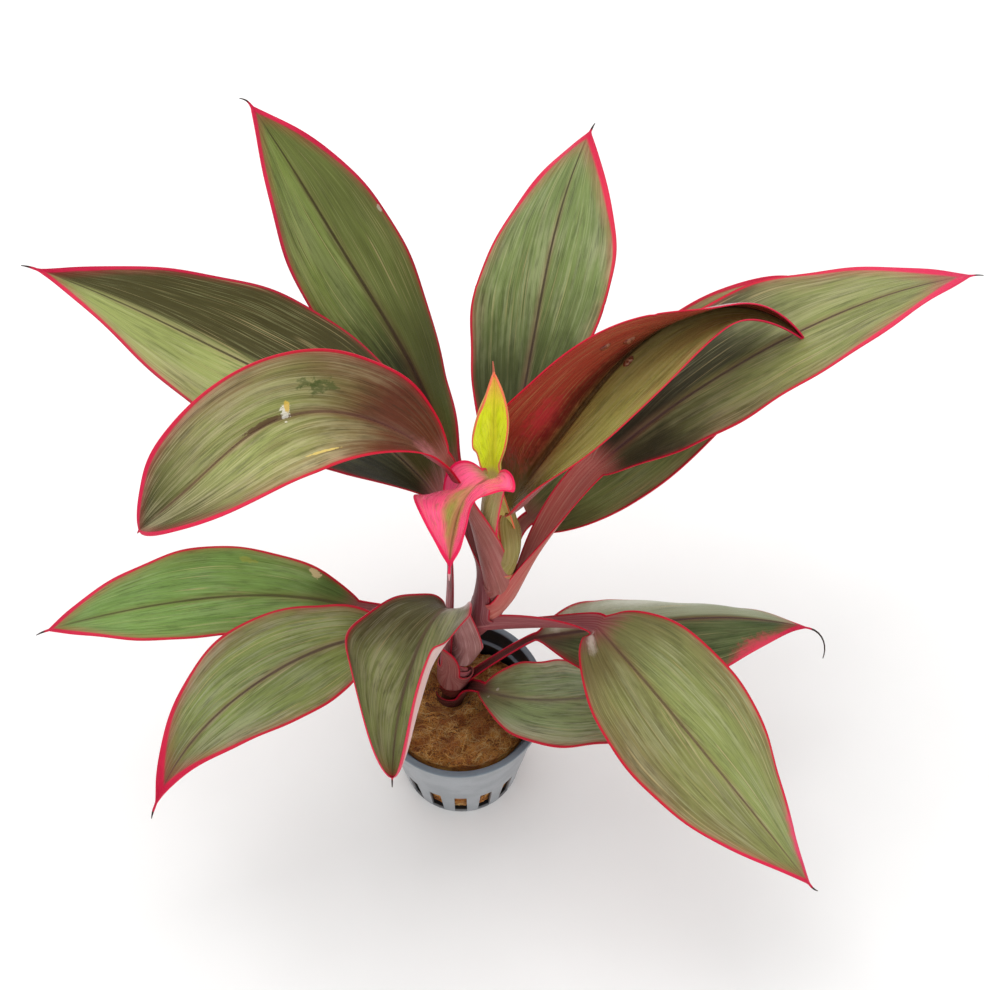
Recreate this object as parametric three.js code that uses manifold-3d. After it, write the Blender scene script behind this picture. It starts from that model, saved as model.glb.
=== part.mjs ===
// Potted red edge ti plant: a rooted cutting in a small slotted net pot filled with brown moss.
// Millimetres, +Z up. The origin is the middle of the pot's underside, -Y is the plant's front.
import * as THREE from 'three';
import { mergeVertices } from 'three/addons/utils/BufferGeometryUtils.js';
import Module from 'manifold-3d';

const wasm = await Module();
wasm.setup();

// Net pot
const POT_HEIGHT = 46;
const RIM_RADIUS = 24.6;
const RIM_TOP_WIDTH = 1.8;
const LIP_OVERHANG = 0.7;
const LIP_HEIGHT = 2.2;
const FOOT_RADIUS = 17.2;
const WALL = 1.3;
const FLOOR = 1.4;
const COLLAR_DEPTH = 6.5;
const LEDGE_WIDTH = 1.0;
const LEDGE_HEIGHT = 1.1;
const SLOT_COUNT = 16;
const SLOT_WIDTH = 3.6;
const SLOT_BOTTOM = 1.0;
const SLOT_TOP = 13.5;
const FLOOR_SLOT_WIDTH = 2.6;
const FLOOR_SLOT_INNER = 8;
const POT_SIDES = 48;

// Moss plug
const MOSS_CLEARANCE = 0.35;
const MOSS_MIDDLE = 37.3;
const MOSS_FALL_TO_BACK = 0.24;
const MOSS_BUMP = 0.7;
const MOSS_RINGS = 6;
const MOSS_SIDES = 32;
const HOLLOW_DEPTH = 6.2;
const HOLLOW_RADIUS = 6.5;

// Cane: it leans to the right and to the back as it rises
const CANE_FOOT = new THREE.Vector3(-3.6, 5.5, 30);
const CANE_BELLY = new THREE.Vector3(3.9, 14, 72);
const CANE_TOP = new THREE.Vector3(10.9, 21.5, 132);
const CANE_RADIUS = 2.25;
const CANE_TIP_RADIUS = 1.6;
const CANE_ROOT_LENGTH = 7;
const CANE_ROOT_RADIUS = 2.9;
const CANE_LENGTH = 96;
const CANE_SIDES = 12;
const CANE_STEPS = 14;
const CANE_HOLE_CLEARANCE = 0.35;

// Leaves
const LEAF_THICKNESS = 0.7;
const SHEATH_RADIUS = 3.0;
const SHEATH_FLARE = 0.2;
const SHEATH_WRAP = 2.0;
const PETIOLE_HALF_WIDTH = 3.2;
const PETIOLE_FOLD = 1.4;
const SHOULDER = 0.35;
const UNFURL = 0.22;
const MARGIN_WAVE = 0.6;
const WAVES_PER_BLADE = 2.5;
const SHEATH_ROWS = 4;
const PETIOLE_ROWS = 8;
const BLADE_ROWS = 12;
const HALF_COLUMNS = 4;
const THREAD_LENGTH = 2.5;
const THREAD_HALF_WIDTH = 0.35;

// Each leaf from the lowest to the youngest. node is its height on the cane and bearing the side it
// leaves from; steep is the petiole's pitch and compass heading. pitch, heading, roll, bend (radians
// that each half curls through) and fold (degrees that each half is tilted up from the midrib) run
// from the blade's base to its tip. turn and crook are the shares of the petiole that bend at its
// lower and upper end. belly is where the blade is widest, and taper sharpens its tip.
const LEAVES = [
  {
    name: 'leaf_low_right', node: 2.5, bearing: -30, sheath: 5,
    petiole: 12, steep: [58, -42], turn: 0.4, crook: 0.35,
    blade: 61, width: 33, belly: 0.44, taper: 1.04,
    pitch: [22, 7, -13, -15], heading: [-29, 6, -6], roll: [-10, -29],
    bend: [0.33, 0.03], fold: [2, -30], color: '#5f6f45',
  },
  {
    name: 'leaf_level_right', node: 7, bearing: -10, sheath: 6,
    petiole: 26.5, steep: [32, 23], turn: 0.3, crook: 0.35,
    blade: 82, width: 35, belly: 0.43, taper: 1.14,
    pitch: [13, -9, -15, -16], heading: [-7, 17, -8], roll: [-3, -29],
    bend: [-0.27, -0.9], fold: [2, -7], color: '#66724c',
  },
  {
    name: 'leaf_drooping_left', node: 11.7, bearing: 240, sheath: 8,
    petiole: 38.5, steep: [69, 194], turn: 0.35, crook: 0.35,
    blade: 85, width: 33, belly: 0.41, taper: 1.49,
    pitch: [24, -6, -18, -44], heading: [194, 214, 241], roll: [0, 3],
    bend: [-0.03, 0.61], fold: [-9, 13], color: '#5d6a42',
  },
  {
    name: 'leaf_level_left', node: 18.5, bearing: 160, sheath: 8,
    petiole: 31.5, steep: [24, 177], turn: 0.35, crook: 0.35,
    blade: 86, width: 29, belly: 0.47, taper: 1.05,
    pitch: [14, 8, 3, -8], heading: [171, 190, 195], roll: [0, 1],
    bend: [0.38, 0.22], fold: [8, 6], color: '#5c7a3f',
  },
  {
    name: 'leaf_upper_left', node: 23, bearing: 188, sheath: 14,
    petiole: 75, steep: [87, 185], turn: 0.5, crook: 0.35,
    blade: 108.5, width: 52, belly: 0.31, taper: 1.18,
    pitch: [62, 10, 19, 15], heading: [148, 156, 168], roll: [40, -10],
    bend: [-0.03, 0.32], fold: [4, 8], color: '#646b45',
  },
  {
    name: 'leaf_over_pot', node: 30, bearing: 260, sheath: 8,
    petiole: 16, steep: [70, 235], turn: 0.5, crook: 0.35,
    blade: 63, width: 40, belly: 0.56, taper: 0.92,
    pitch: [88, 4, 15, -58], heading: [210, 256, 269], roll: [29, 5],
    bend: [0.27, 1.52], fold: [7, 34], color: '#565c40',
  },
  {
    name: 'leaf_front_right', node: 35, bearing: -55, sheath: 6,
    petiole: 38, steep: [10, 0], turn: 0.25, crook: 0.3,
    blade: 91, width: 40.5, belly: 0.37, taper: 1.15,
    pitch: [6, -13, -24, -33], heading: [-53, -48, -44], roll: [4, -3],
    bend: [0.37, -0.08], fold: [11, -17], color: '#63703f',
  },
  {
    name: 'leaf_behind_right', node: 41, bearing: 45, sheath: 10,
    petiole: 26, steep: [46, 52], turn: 0.5, crook: 0.35,
    blade: 105.5, width: 39.5, belly: 0.42, taper: 0.65,
    pitch: [24, 16, 9, -5], heading: [25, 43, 24], roll: [12, 1],
    bend: [0.57, 0.37], fold: [18, 16], color: '#5c7a3f',
  },
  {
    name: 'leaf_long_right', node: 47, bearing: 10, sheath: 8,
    petiole: 49.5, steep: [43, 35], turn: 0.4, crook: 0.35,
    blade: 110, width: 41, belly: 0.45, taper: 1.01,
    pitch: [31, 25, 19, -1], heading: [32, 20, 10], roll: [-4, -26],
    bend: [0.39, 0.08], fold: [9, -3], color: '#58663b',
  },
  {
    name: 'leaf_arching_left', node: 52, bearing: 226, sheath: 8,
    petiole: 65, steep: [90, 195], turn: 0.4, crook: 0.25,
    blade: 91.5, width: 33.5, belly: 0.53, taper: 0.65,
    pitch: [51, 34, 14, -11, -37], heading: [158, 186, 224, 205], roll: [35, -32, 8],
    bend: [0.49, 0.24], fold: [25, 14], color: '#6f6450',
  },
  {
    name: 'leaf_back_left', node: 58.5, bearing: 152, sheath: 10,
    petiole: 25, steep: [39, 102], turn: 0.5, crook: 0.35,
    blade: 109, width: 34, belly: 0.55, taper: 1.09,
    pitch: [38, 35, 45, 26], heading: [109, 132, 129], roll: [7, 7],
    bend: [0.04, 0.32], fold: [-30, 13], color: '#5d6b3f',
  },
  {
    name: 'leaf_back', node: 64.5, bearing: 70, sheath: 10,
    petiole: 17.5, steep: [29, 71], turn: 0.5, crook: 0.35,
    blade: 95, width: 40, belly: 0.48, taper: 0.91,
    pitch: [49, 34, 26, 9], heading: [73, 78, 66], roll: [-45, -7],
    bend: [0.57, -0.56], fold: [13, -8], color: '#66784a',
  },
  {
    name: 'leaf_young_bronze', node: 71, bearing: 25, sheath: 10,
    petiole: 13, steep: [41, 58], turn: 0.6, crook: 0.35,
    blade: 104, width: 52, belly: 0.45, taper: 0.92,
    pitch: [66, 54, 26, 3, -30], heading: [24, 34, 24, -33], roll: [3, 50],
    bend: [1.46, 1.06, 2.0], fold: [20, 50], color: '#7a4a3a',
  },
  {
    name: 'leaf_young_pink', node: 78, bearing: 290, sheath: 8,
    petiole: 43.5, steep: [91, 212], turn: 0.5, crook: 0.35,
    blade: 34.5, width: 33, belly: 0.52, taper: 1.59,
    pitch: [48, 7, -63, -62], heading: [237, 245, 256], roll: [-31, -24],
    bend: [-0.76, -0.88], fold: [-30, -30], color: '#d8446c',
  },
  {
    name: 'leaf_spear', node: 85, bearing: 60, sheath: 6,
    petiole: 20, steep: [115, 51], turn: 0.5, crook: 0.35,
    blade: 38.5, width: 18, belly: 0.5, taper: 1.11,
    pitch: [79, 80, 85, 80], heading: [85, 83, 100], roll: [-6, -1],
    bend: [1.75, 1.33], fold: [17, 16], color: '#a8b32c',
  },
];

const DEGREE = Math.PI / 180;

function clamp01(x) {
  return Math.min(1, Math.max(0, x));
}

function smooth(x) {
  const u = clamp01(x);
  return u * u * (3 - 2 * u);
}

function mix(a, b, share) {
  return a + (b - a) * share;
}

// A smooth curve through values that are evenly spread from 0 to 1
function through(values, x) {
  const last = values.length - 1;
  const place = clamp01(x) * last;
  const i = Math.min(last - 1, Math.floor(place));
  const t = place - i;
  const slope = (k) => {
    const before = Math.max(0, k - 1);
    const after = Math.min(last, k + 1);
    return (values[after] - values[before]) / (after - before);
  };
  const along = mix(values[i], values[i + 1], t * t * (3 - 2 * t));
  return along + slope(i) * t * (1 - t) ** 2 - slope(i + 1) * t * t * (1 - t);
}

const caneLine = new THREE.QuadraticBezierCurve3(CANE_FOOT, CANE_BELLY, CANE_TOP);
caneLine.arcLengthDivisions = 400;

// The cane's middle, its direction, and the outward and sideways directions at a bearing
function caneFrame(height, bearing) {
  const share = clamp01(height / caneLine.getLength());
  const axis = caneLine.getTangentAt(share);
  const out = new THREE.Vector3(Math.cos(bearing * DEGREE), Math.sin(bearing * DEGREE), 0);
  out.addScaledVector(axis, -out.dot(axis)).normalize();
  const middle = caneLine.getPointAt(share);
  middle.addScaledVector(axis, Math.min(0, height));
  return { middle, axis, out, side: axis.clone().cross(out) };
}

// The direction of travel and the leftward direction for a pitch, a compass heading and a roll
function flight(pitch, heading, roll) {
  const [p, h, r] = [pitch * DEGREE, heading * DEGREE, roll * DEGREE];
  const ahead = new THREE.Vector3(Math.cos(p) * Math.cos(h), Math.cos(p) * Math.sin(h), Math.sin(p));
  const above = new THREE.Vector3(-Math.sin(p) * Math.cos(h), -Math.sin(p) * Math.sin(h), Math.cos(p));
  const side = new THREE.Vector3(-Math.sin(h), Math.cos(h), 0);
  side.multiplyScalar(Math.cos(r)).addScaledVector(above, Math.sin(r));
  return { ahead, side };
}

// Rows up the sheath, which clasps the cane inside the older sheaths and narrows to the petiole
function sheathRows(leaf) {
  const rows = [];
  const mouthRadius = SHEATH_RADIUS + SHEATH_FLARE * leaf.sheath;
  for (let i = 0; i <= SHEATH_ROWS; i += 1) {
    const climb = leaf.sheath * i / SHEATH_ROWS;
    const frame = caneFrame(leaf.node + climb, leaf.bearing);
    const radius = SHEATH_RADIUS + SHEATH_FLARE * climb;
    const wrap = mix(SHEATH_WRAP, PETIOLE_HALF_WIDTH / mouthRadius, smooth(i / SHEATH_ROWS));
    rows.push({
      point: frame.middle.addScaledVector(frame.out, radius),
      ahead: frame.axis.addScaledVector(frame.out, SHEATH_FLARE).normalize(),
      side: frame.side,
      half: wrap * radius,
      bend: wrap,
      fold: 0,
      wave: 0,
    });
  }
  return rows;
}

// Rows along the petiole, a channel that turns away from the cane and then into the blade
function petioleRows(leaf, start) {
  const rise = flight(leaf.steep[0], leaf.steep[1], 0);
  const blade = flight(leaf.pitch[0], leaf.heading[0], leaf.roll[0]);
  const rows = [];
  const step = leaf.petiole / PETIOLE_ROWS;
  let last = start;
  for (let i = 1; i <= PETIOLE_ROWS; i += 1) {
    const share = i / PETIOLE_ROWS;
    const leaving = smooth(share / leaf.turn);
    const entering = smooth((share - 1 + leaf.crook) / leaf.crook);
    const blend = (a, b, c) => a.clone().multiplyScalar(1 - leaving)
      .addScaledVector(b, leaving - entering).addScaledVector(c, entering);
    const ahead = blend(start.ahead, rise.ahead, blade.ahead).normalize();
    const side = blend(start.side, rise.side, blade.side);
    side.addScaledVector(ahead, -side.dot(ahead)).normalize();
    const point = last.point.clone().addScaledVector(last.ahead, step / 2).addScaledVector(ahead, step / 2);
    last = {
      point,
      ahead,
      side,
      half: PETIOLE_HALF_WIDTH,
      bend: mix(start.bend, PETIOLE_FOLD, smooth(share)),
      fold: 0,
      wave: 0,
    };
    rows.push(last);
  }
  return rows;
}

// Half the blade's width at a share of its length
function bladeHalf(leaf, share) {
  const rise = leaf.taper * leaf.belly / (1 - leaf.belly);
  const outline = (share / leaf.belly) ** rise * ((1 - share) / (1 - leaf.belly)) ** leaf.taper;
  const shoulder = PETIOLE_HALF_WIDTH * clamp01(1 - share / SHOULDER) ** 2;
  return Math.max(THREAD_HALF_WIDTH, leaf.width / 2 * outline + shoulder);
}

// Rows along the blade, and one more at the end of the thread on its tip
function bladeRows(leaf, start) {
  const rows = [];
  const step = leaf.blade / BLADE_ROWS;
  let last = start;
  for (let i = 1; i <= BLADE_ROWS; i += 1) {
    const share = i / BLADE_ROWS;
    const { ahead, side } = flight(
      through(leaf.pitch, share),
      through(leaf.heading, share),
      through(leaf.roll, share),
    );
    const point = last.point.clone().addScaledVector(last.ahead, step / 2).addScaledVector(ahead, step / 2);
    const open = smooth(share / UNFURL);
    last = {
      point,
      ahead,
      side,
      half: bladeHalf(leaf, share),
      bend: mix(PETIOLE_FOLD, through(leaf.bend, share), open),
      fold: open * through(leaf.fold, share) * DEGREE,
      wave: MARGIN_WAVE * Math.sin(2 * Math.PI * WAVES_PER_BLADE * share) * Math.sin(Math.PI * share),
    };
    rows.push(last);
  }
  rows.push({ ...last, point: last.point.clone().addScaledVector(last.ahead, THREAD_LENGTH) });
  return rows;
}

// A point on the leaf's middle surface and the surface's upward direction there
function acrossRow(row, t) {
  const sign = t < 0 ? -1 : 1;
  const bend = Math.abs(row.bend) < 0.01 ? 0.01 : row.bend;
  const turned = row.fold + bend * Math.abs(t);
  const lateral = row.half * (Math.sin(turned) - Math.sin(row.fold)) / bend;
  const lift = row.half * (Math.cos(row.fold) - Math.cos(turned)) / bend + row.wave * Math.abs(t) ** 3;
  const up = row.ahead.clone().cross(row.side);
  const point = row.point.clone().addScaledVector(row.side, sign * lateral).addScaledVector(up, lift);
  const tilt = t === 0 ? 0 : turned;
  const normal = up.multiplyScalar(Math.cos(tilt)).addScaledVector(row.side, -sign * Math.sin(tilt));
  return { point, normal };
}

// A closed sheet of even thickness over the leaf's rows, split alike on both faces
function leafGeometry(leaf) {
  const rows = sheathRows(leaf);
  rows.push(...petioleRows(leaf, rows.at(-1)));
  rows.push(...bladeRows(leaf, rows.at(-1)));
  const columns = 2 * HALF_COLUMNS + 1;
  const upper = [];
  const lower = [];
  for (const row of rows) {
    for (let j = 0; j < columns; j += 1) {
      const { point, normal } = acrossRow(row, j / HALF_COLUMNS - 1);
      upper.push(...point.clone().addScaledVector(normal, LEAF_THICKNESS / 2).toArray());
      lower.push(...point.addScaledVector(normal, -LEAF_THICKNESS / 2).toArray());
    }
  }
  const top = (i, j) => i * columns + j;
  const under = (i, j) => rows.length * columns + top(i, j);
  const index = [];
  const quad = (a, b, c, d) => index.push(a, b, c, a, c, d);
  for (let i = 0; i < rows.length - 1; i += 1) {
    for (let j = 0; j < columns - 1; j += 1) {
      quad(top(i, j), top(i + 1, j), top(i + 1, j + 1), top(i, j + 1));
      index.push(under(i, j), under(i + 1, j + 1), under(i + 1, j));
      index.push(under(i, j), under(i, j + 1), under(i + 1, j + 1));
    }
    quad(under(i, 0), under(i + 1, 0), top(i + 1, 0), top(i, 0));
    quad(top(i, columns - 1), top(i + 1, columns - 1), under(i + 1, columns - 1), under(i, columns - 1));
  }
  const end = rows.length - 1;
  for (let j = 0; j < columns - 1; j += 1) {
    quad(top(0, j), top(0, j + 1), under(0, j + 1), under(0, j));
    quad(under(end, j), under(end, j + 1), top(end, j + 1), top(end, j));
  }
  return closedGeometry([...upper, ...lower], index);
}

function closedGeometry(positions, index) {
  const geometry = new THREE.BufferGeometry();
  geometry.setAttribute('position', new THREE.Float32BufferAttribute(positions, 3));
  geometry.setIndex(index);
  geometry.computeVertexNormals();
  return geometry;
}

function solidOf(geometry) {
  const bare = new THREE.BufferGeometry();
  bare.setAttribute('position', geometry.getAttribute('position'));
  bare.setIndex(geometry.getIndex());
  const merged = mergeVertices(bare, 1e-4);
  const vertProperties = new Float32Array(merged.getAttribute('position').array);
  const triVerts = new Uint32Array(merged.getIndex().array);
  return new wasm.Manifold(new wasm.Mesh({ numProp: 3, vertProperties, triVerts }));
}

function geometryOf(solid) {
  const mesh = solid.getMesh();
  return closedGeometry(Array.from(mesh.vertProperties), Array.from(mesh.triVerts));
}

// A round solid from a closed outline of radius and height pairs
function turned(outline, sides) {
  const profile = outline.map(([radius, height]) => new THREE.Vector2(radius, height));
  const geometry = new THREE.LatheGeometry(profile, sides);
  geometry.rotateX(Math.PI / 2);
  return geometry;
}

// The pot's wall leans outward from the foot to the rim
function wallRadius(height) {
  return mix(FOOT_RADIUS, RIM_RADIUS - LIP_OVERHANG, height / POT_HEIGHT);
}

function bar(length, width, height) {
  return new THREE.BoxGeometry(length, width, height);
}

function potGeometry() {
  const innerTop = RIM_RADIUS - RIM_TOP_WIDTH;
  const ledgeTop = POT_HEIGHT - COLLAR_DEPTH;
  const ledgeUnder = ledgeTop - LEDGE_HEIGHT;
  const lipUnder = POT_HEIGHT - LIP_HEIGHT;
  const body = solidOf(turned([
    [0, 0],
    [FOOT_RADIUS, 0],
    [wallRadius(lipUnder), lipUnder],
    [RIM_RADIUS, lipUnder],
    [RIM_RADIUS, POT_HEIGHT],
    [innerTop, POT_HEIGHT],
    [wallRadius(ledgeTop) - WALL, ledgeTop],
    [wallRadius(ledgeTop) - WALL - LEDGE_WIDTH, ledgeTop],
    [wallRadius(ledgeUnder) - WALL - LEDGE_WIDTH, ledgeUnder],
    [wallRadius(ledgeUnder) - WALL, ledgeUnder],
    [wallRadius(FLOOR) - WALL, FLOOR],
    [0, FLOOR],
  ], POT_SIDES));
  let slotted = body;
  for (let i = 0; i < SLOT_COUNT; i += 1) {
    const turn = (2 * Math.PI * i) / SLOT_COUNT - Math.PI / 2;
    const wallSlot = bar(2 * WALL + 6, SLOT_WIDTH, SLOT_TOP - SLOT_BOTTOM);
    wallSlot.translate(wallRadius(SLOT_TOP / 2), 0, (SLOT_TOP + SLOT_BOTTOM) / 2);
    wallSlot.rotateZ(turn);
    slotted = slotted.subtract(solidOf(wallSlot));
    if (i % 2 === 0) {
      const reach = FOOT_RADIUS - 2 * WALL - FLOOR_SLOT_INNER;
      const floorSlot = bar(reach, FLOOR_SLOT_WIDTH, 4 * FLOOR);
      floorSlot.translate(FLOOR_SLOT_INNER + reach / 2, 0, 0);
      floorSlot.rotateZ(turn + Math.PI / SLOT_COUNT);
      slotted = slotted.subtract(solidOf(floorSlot));
    }
  }
  return geometryOf(slotted);
}

// Height of the moss: it banks up to the front and is trodden down round the cane
function mossHeight(x, y) {
  const fromCane = Math.hypot(x - CANE_FOOT.x, y - CANE_FOOT.y);
  const hollow = HOLLOW_DEPTH * Math.exp(-((fromCane / HOLLOW_RADIUS) ** 2));
  const bumps = Math.sin(0.55 * x + 1.3) * Math.cos(0.62 * y - 0.4) + 0.6 * Math.sin(0.9 * x - 0.7 * y);
  return MOSS_MIDDLE - MOSS_FALL_TO_BACK * y + MOSS_BUMP * bumps - hollow;
}

function mossGeometry() {
  const positions = [];
  const index = [];
  const base = FLOOR + MOSS_CLEARANCE;
  const inner = (height) => wallRadius(height) - WALL - MOSS_CLEARANCE;
  const ledgeInner = wallRadius(POT_HEIGHT - COLLAR_DEPTH) - WALL - LEDGE_WIDTH - MOSS_CLEARANCE;
  positions.push(0, 0, mossHeight(0, 0));
  for (let ring = 1; ring <= MOSS_RINGS; ring += 1) {
    for (let i = 0; i < MOSS_SIDES; i += 1) {
      const turn = 2 * Math.PI * i / MOSS_SIDES;
      const radius = ledgeInner * ring / MOSS_RINGS;
      const [x, y] = [radius * Math.cos(turn), radius * Math.sin(turn)];
      positions.push(x, y, mossHeight(x, y));
    }
  }
  for (let i = 0; i < MOSS_SIDES; i += 1) {
    const turn = 2 * Math.PI * i / MOSS_SIDES;
    positions.push(inner(base) * Math.cos(turn), inner(base) * Math.sin(turn), base);
  }
  positions.push(0, 0, base);
  const at = (ring, i) => 1 + (ring - 1) * MOSS_SIDES + (i % MOSS_SIDES);
  const bottom = 1 + (MOSS_RINGS + 1) * MOSS_SIDES;
  for (let i = 0; i < MOSS_SIDES; i += 1) {
    index.push(0, at(1, i), at(1, i + 1));
    for (let ring = 1; ring <= MOSS_RINGS; ring += 1) {
      index.push(at(ring, i), at(ring + 1, i), at(ring + 1, i + 1));
      index.push(at(ring, i), at(ring + 1, i + 1), at(ring, i + 1));
    }
    index.push(bottom, at(MOSS_RINGS + 1, i + 1), at(MOSS_RINGS + 1, i));
  }
  const hole = solidOf(caneGeometry(CANE_HOLE_CLEARANCE));
  return geometryOf(solidOf(closedGeometry(positions, index)).subtract(hole));
}

// Radius of the cane: a thicker rooted foot, then an even taper to the growing tip
function caneRadius(height) {
  if (height < 0) return CANE_ROOT_RADIUS;
  return mix(CANE_RADIUS, CANE_TIP_RADIUS, height / CANE_LENGTH);
}

// The cane as stacked rings; extra widens it for its hole in the moss
function caneGeometry(extra) {
  const positions = [];
  const index = [];
  const heights = [-CANE_ROOT_LENGTH - extra, -0.01];
  for (let i = 0; i < CANE_STEPS; i += 1) {
    heights.push(CANE_LENGTH * i / (CANE_STEPS - 1));
  }
  for (const height of heights) {
    const frame = caneFrame(height, 0);
    for (let i = 0; i < CANE_SIDES; i += 1) {
      const turn = 2 * Math.PI * i / CANE_SIDES;
      const radius = caneRadius(height) + extra;
      const point = frame.middle.clone()
        .addScaledVector(frame.out, radius * Math.cos(turn))
        .addScaledVector(frame.side, radius * Math.sin(turn));
      positions.push(...point.toArray());
    }
  }
  const at = (ring, i) => ring * CANE_SIDES + (i % CANE_SIDES);
  const last = heights.length - 1;
  for (let i = 0; i < CANE_SIDES; i += 1) {
    for (let ring = 0; ring < last; ring += 1) {
      index.push(at(ring, i), at(ring, i + 1), at(ring + 1, i + 1));
      index.push(at(ring, i), at(ring + 1, i + 1), at(ring + 1, i));
    }
    if (i > 0 && i < CANE_SIDES - 1) {
      index.push(at(0, 0), at(0, i + 1), at(0, i));
      index.push(at(last, 0), at(last, i), at(last, i + 1));
    }
  }
  return closedGeometry(positions, index);
}

function piece(name, geometry, color, roughness) {
  const material = new THREE.MeshStandardMaterial({ color, roughness, metalness: 0 });
  const mesh = new THREE.Mesh(geometry, material);
  mesh.name = name;
  return mesh;
}

const plant = new THREE.Group();
plant.add(piece('net_pot', potGeometry(), '#a9aeb3', 0.55));
plant.add(piece('moss_plug', mossGeometry(), '#8a5526', 1.0));
plant.add(piece('cane', caneGeometry(0), '#8f5b58', 0.6));
for (const leaf of LEAVES) {
  plant.add(piece(leaf.name, leafGeometry(leaf), leaf.color, 0.45));
}

export default plant;
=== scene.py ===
"""Dresses the potted red edge ti plant: fine leaves, cane, moss fibre and slotted pot.

Lengths inside the classes are millimetres in the plant's own frame, +Z up from the middle of the
pot's underside and -Y at its front. A piece's mesh is stored in metres. Each leaf's few sizes and
angles were fitted to its outline in the photograph.
"""
import logging
import math
from collections.abc import Collection, Mapping, Sequence
from dataclasses import dataclass
from enum import Enum

import bpy
import numpy as np
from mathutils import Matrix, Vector


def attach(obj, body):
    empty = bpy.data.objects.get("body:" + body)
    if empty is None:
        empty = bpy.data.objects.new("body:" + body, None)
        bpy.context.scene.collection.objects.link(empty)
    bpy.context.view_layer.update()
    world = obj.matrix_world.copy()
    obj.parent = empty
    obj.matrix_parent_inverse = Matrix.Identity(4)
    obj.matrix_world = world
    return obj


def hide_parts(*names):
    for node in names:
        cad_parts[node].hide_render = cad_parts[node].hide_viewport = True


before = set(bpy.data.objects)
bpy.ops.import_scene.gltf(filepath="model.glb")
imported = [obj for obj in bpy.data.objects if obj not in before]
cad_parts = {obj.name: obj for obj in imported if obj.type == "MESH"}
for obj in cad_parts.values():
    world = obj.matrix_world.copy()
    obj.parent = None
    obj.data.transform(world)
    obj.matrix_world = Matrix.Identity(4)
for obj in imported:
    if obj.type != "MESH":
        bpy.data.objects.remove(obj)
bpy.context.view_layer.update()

log = logging.getLogger("ti_plant")

MM = 0.001
Grid = np.ndarray
Face = tuple[int, ...]


class Part(Enum):
    """The record's material slots."""

    POT = "pot"
    MOSS = "moss"
    CANE = "cane"
    LEAF_GREEN = "leaf_green"
    LEAF_BRONZE = "leaf_bronze"
    LEAF_PINK = "leaf_pink"
    LEAF_SPEAR = "leaf_spear"


# Shader maths


def colour_of(value: str) -> tuple[float, float, float, float]:
    """Turns a hex colour as seen on screen into the linear values that a shader takes.

    Args:
        value: The colour as "#rrggbb".

    Returns:
        Linear red, green, blue and an alpha of 1.
    """
    parts = [int(value[i:i + 2], 16) / 255 for i in (1, 3, 5)]
    linear = [p / 12.92 if p <= 0.04045 else ((p + 0.055) / 1.055) ** 2.4 for p in parts]
    return linear[0], linear[1], linear[2], 1.0


class Wire:
    """A shader socket that takes part in Python expressions."""

    def __init__(self, shader: "Shader", socket: bpy.types.NodeSocket) -> None:
        """Wraps one output socket of a node in the given shader."""
        self.shader = shader
        self.socket = socket

    def _maths(self, operation: str, *inputs: "Wire | float") -> "Wire":
        """Adds one Math node with those inputs and gives its result."""
        return self.shader.wire("ShaderNodeMath", {"operation": operation}, dict(enumerate(inputs)))

    def __add__(self, other: "Wire | float") -> "Wire":
        """Gives self + other."""
        return self._maths("ADD", self, other)

    __radd__ = __add__

    def __sub__(self, other: "Wire | float") -> "Wire":
        """Gives self - other."""
        return self._maths("SUBTRACT", self, other)

    def __rsub__(self, other: "Wire | float") -> "Wire":
        """Gives other - self."""
        return self._maths("SUBTRACT", other, self)

    def __mul__(self, other: "Wire | float") -> "Wire":
        """Gives self * other."""
        return self._maths("MULTIPLY", self, other)

    __rmul__ = __mul__

    def __truediv__(self, other: "Wire | float") -> "Wire":
        """Gives self / other."""
        return self._maths("DIVIDE", self, other)

    def __rtruediv__(self, other: "Wire | float") -> "Wire":
        """Gives other / self."""
        return self._maths("DIVIDE", other, self)

    def __pow__(self, other: "Wire | float") -> "Wire":
        """Gives self ** other."""
        return self._maths("POWER", self, other)

    def __rpow__(self, other: "Wire | float") -> "Wire":
        """Gives other ** self."""
        return self._maths("POWER", other, self)

    def __abs__(self) -> "Wire":
        """Gives the size of self."""
        return self._maths("ABSOLUTE", self)

    def sine(self) -> "Wire":
        """Gives the sine of self, in radians."""
        return self._maths("SINE", self)

    def rise(self, low: "Wire | float", high: "Wire | float") -> "Wire":
        """Gives 0 below low and 1 above high, smoothly."""
        sockets = {"Value": self, "From Min": low, "From Max": high}
        return self.shader.wire("ShaderNodeMapRange", {"interpolation_type": "SMOOTHSTEP"}, sockets)

    def fall(self, low: "Wire | float", high: "Wire | float") -> "Wire":
        """Gives 1 below low and 0 above high, smoothly."""
        return 1 - self.rise(low, high)

    def split(self) -> "tuple[Wire, Wire, Wire]":
        """Gives the three parts of a vector."""
        node = self.shader.add("ShaderNodeSeparateXYZ", {}, {0: self})
        return tuple(Wire(self.shader, out) for out in node.outputs)


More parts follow.
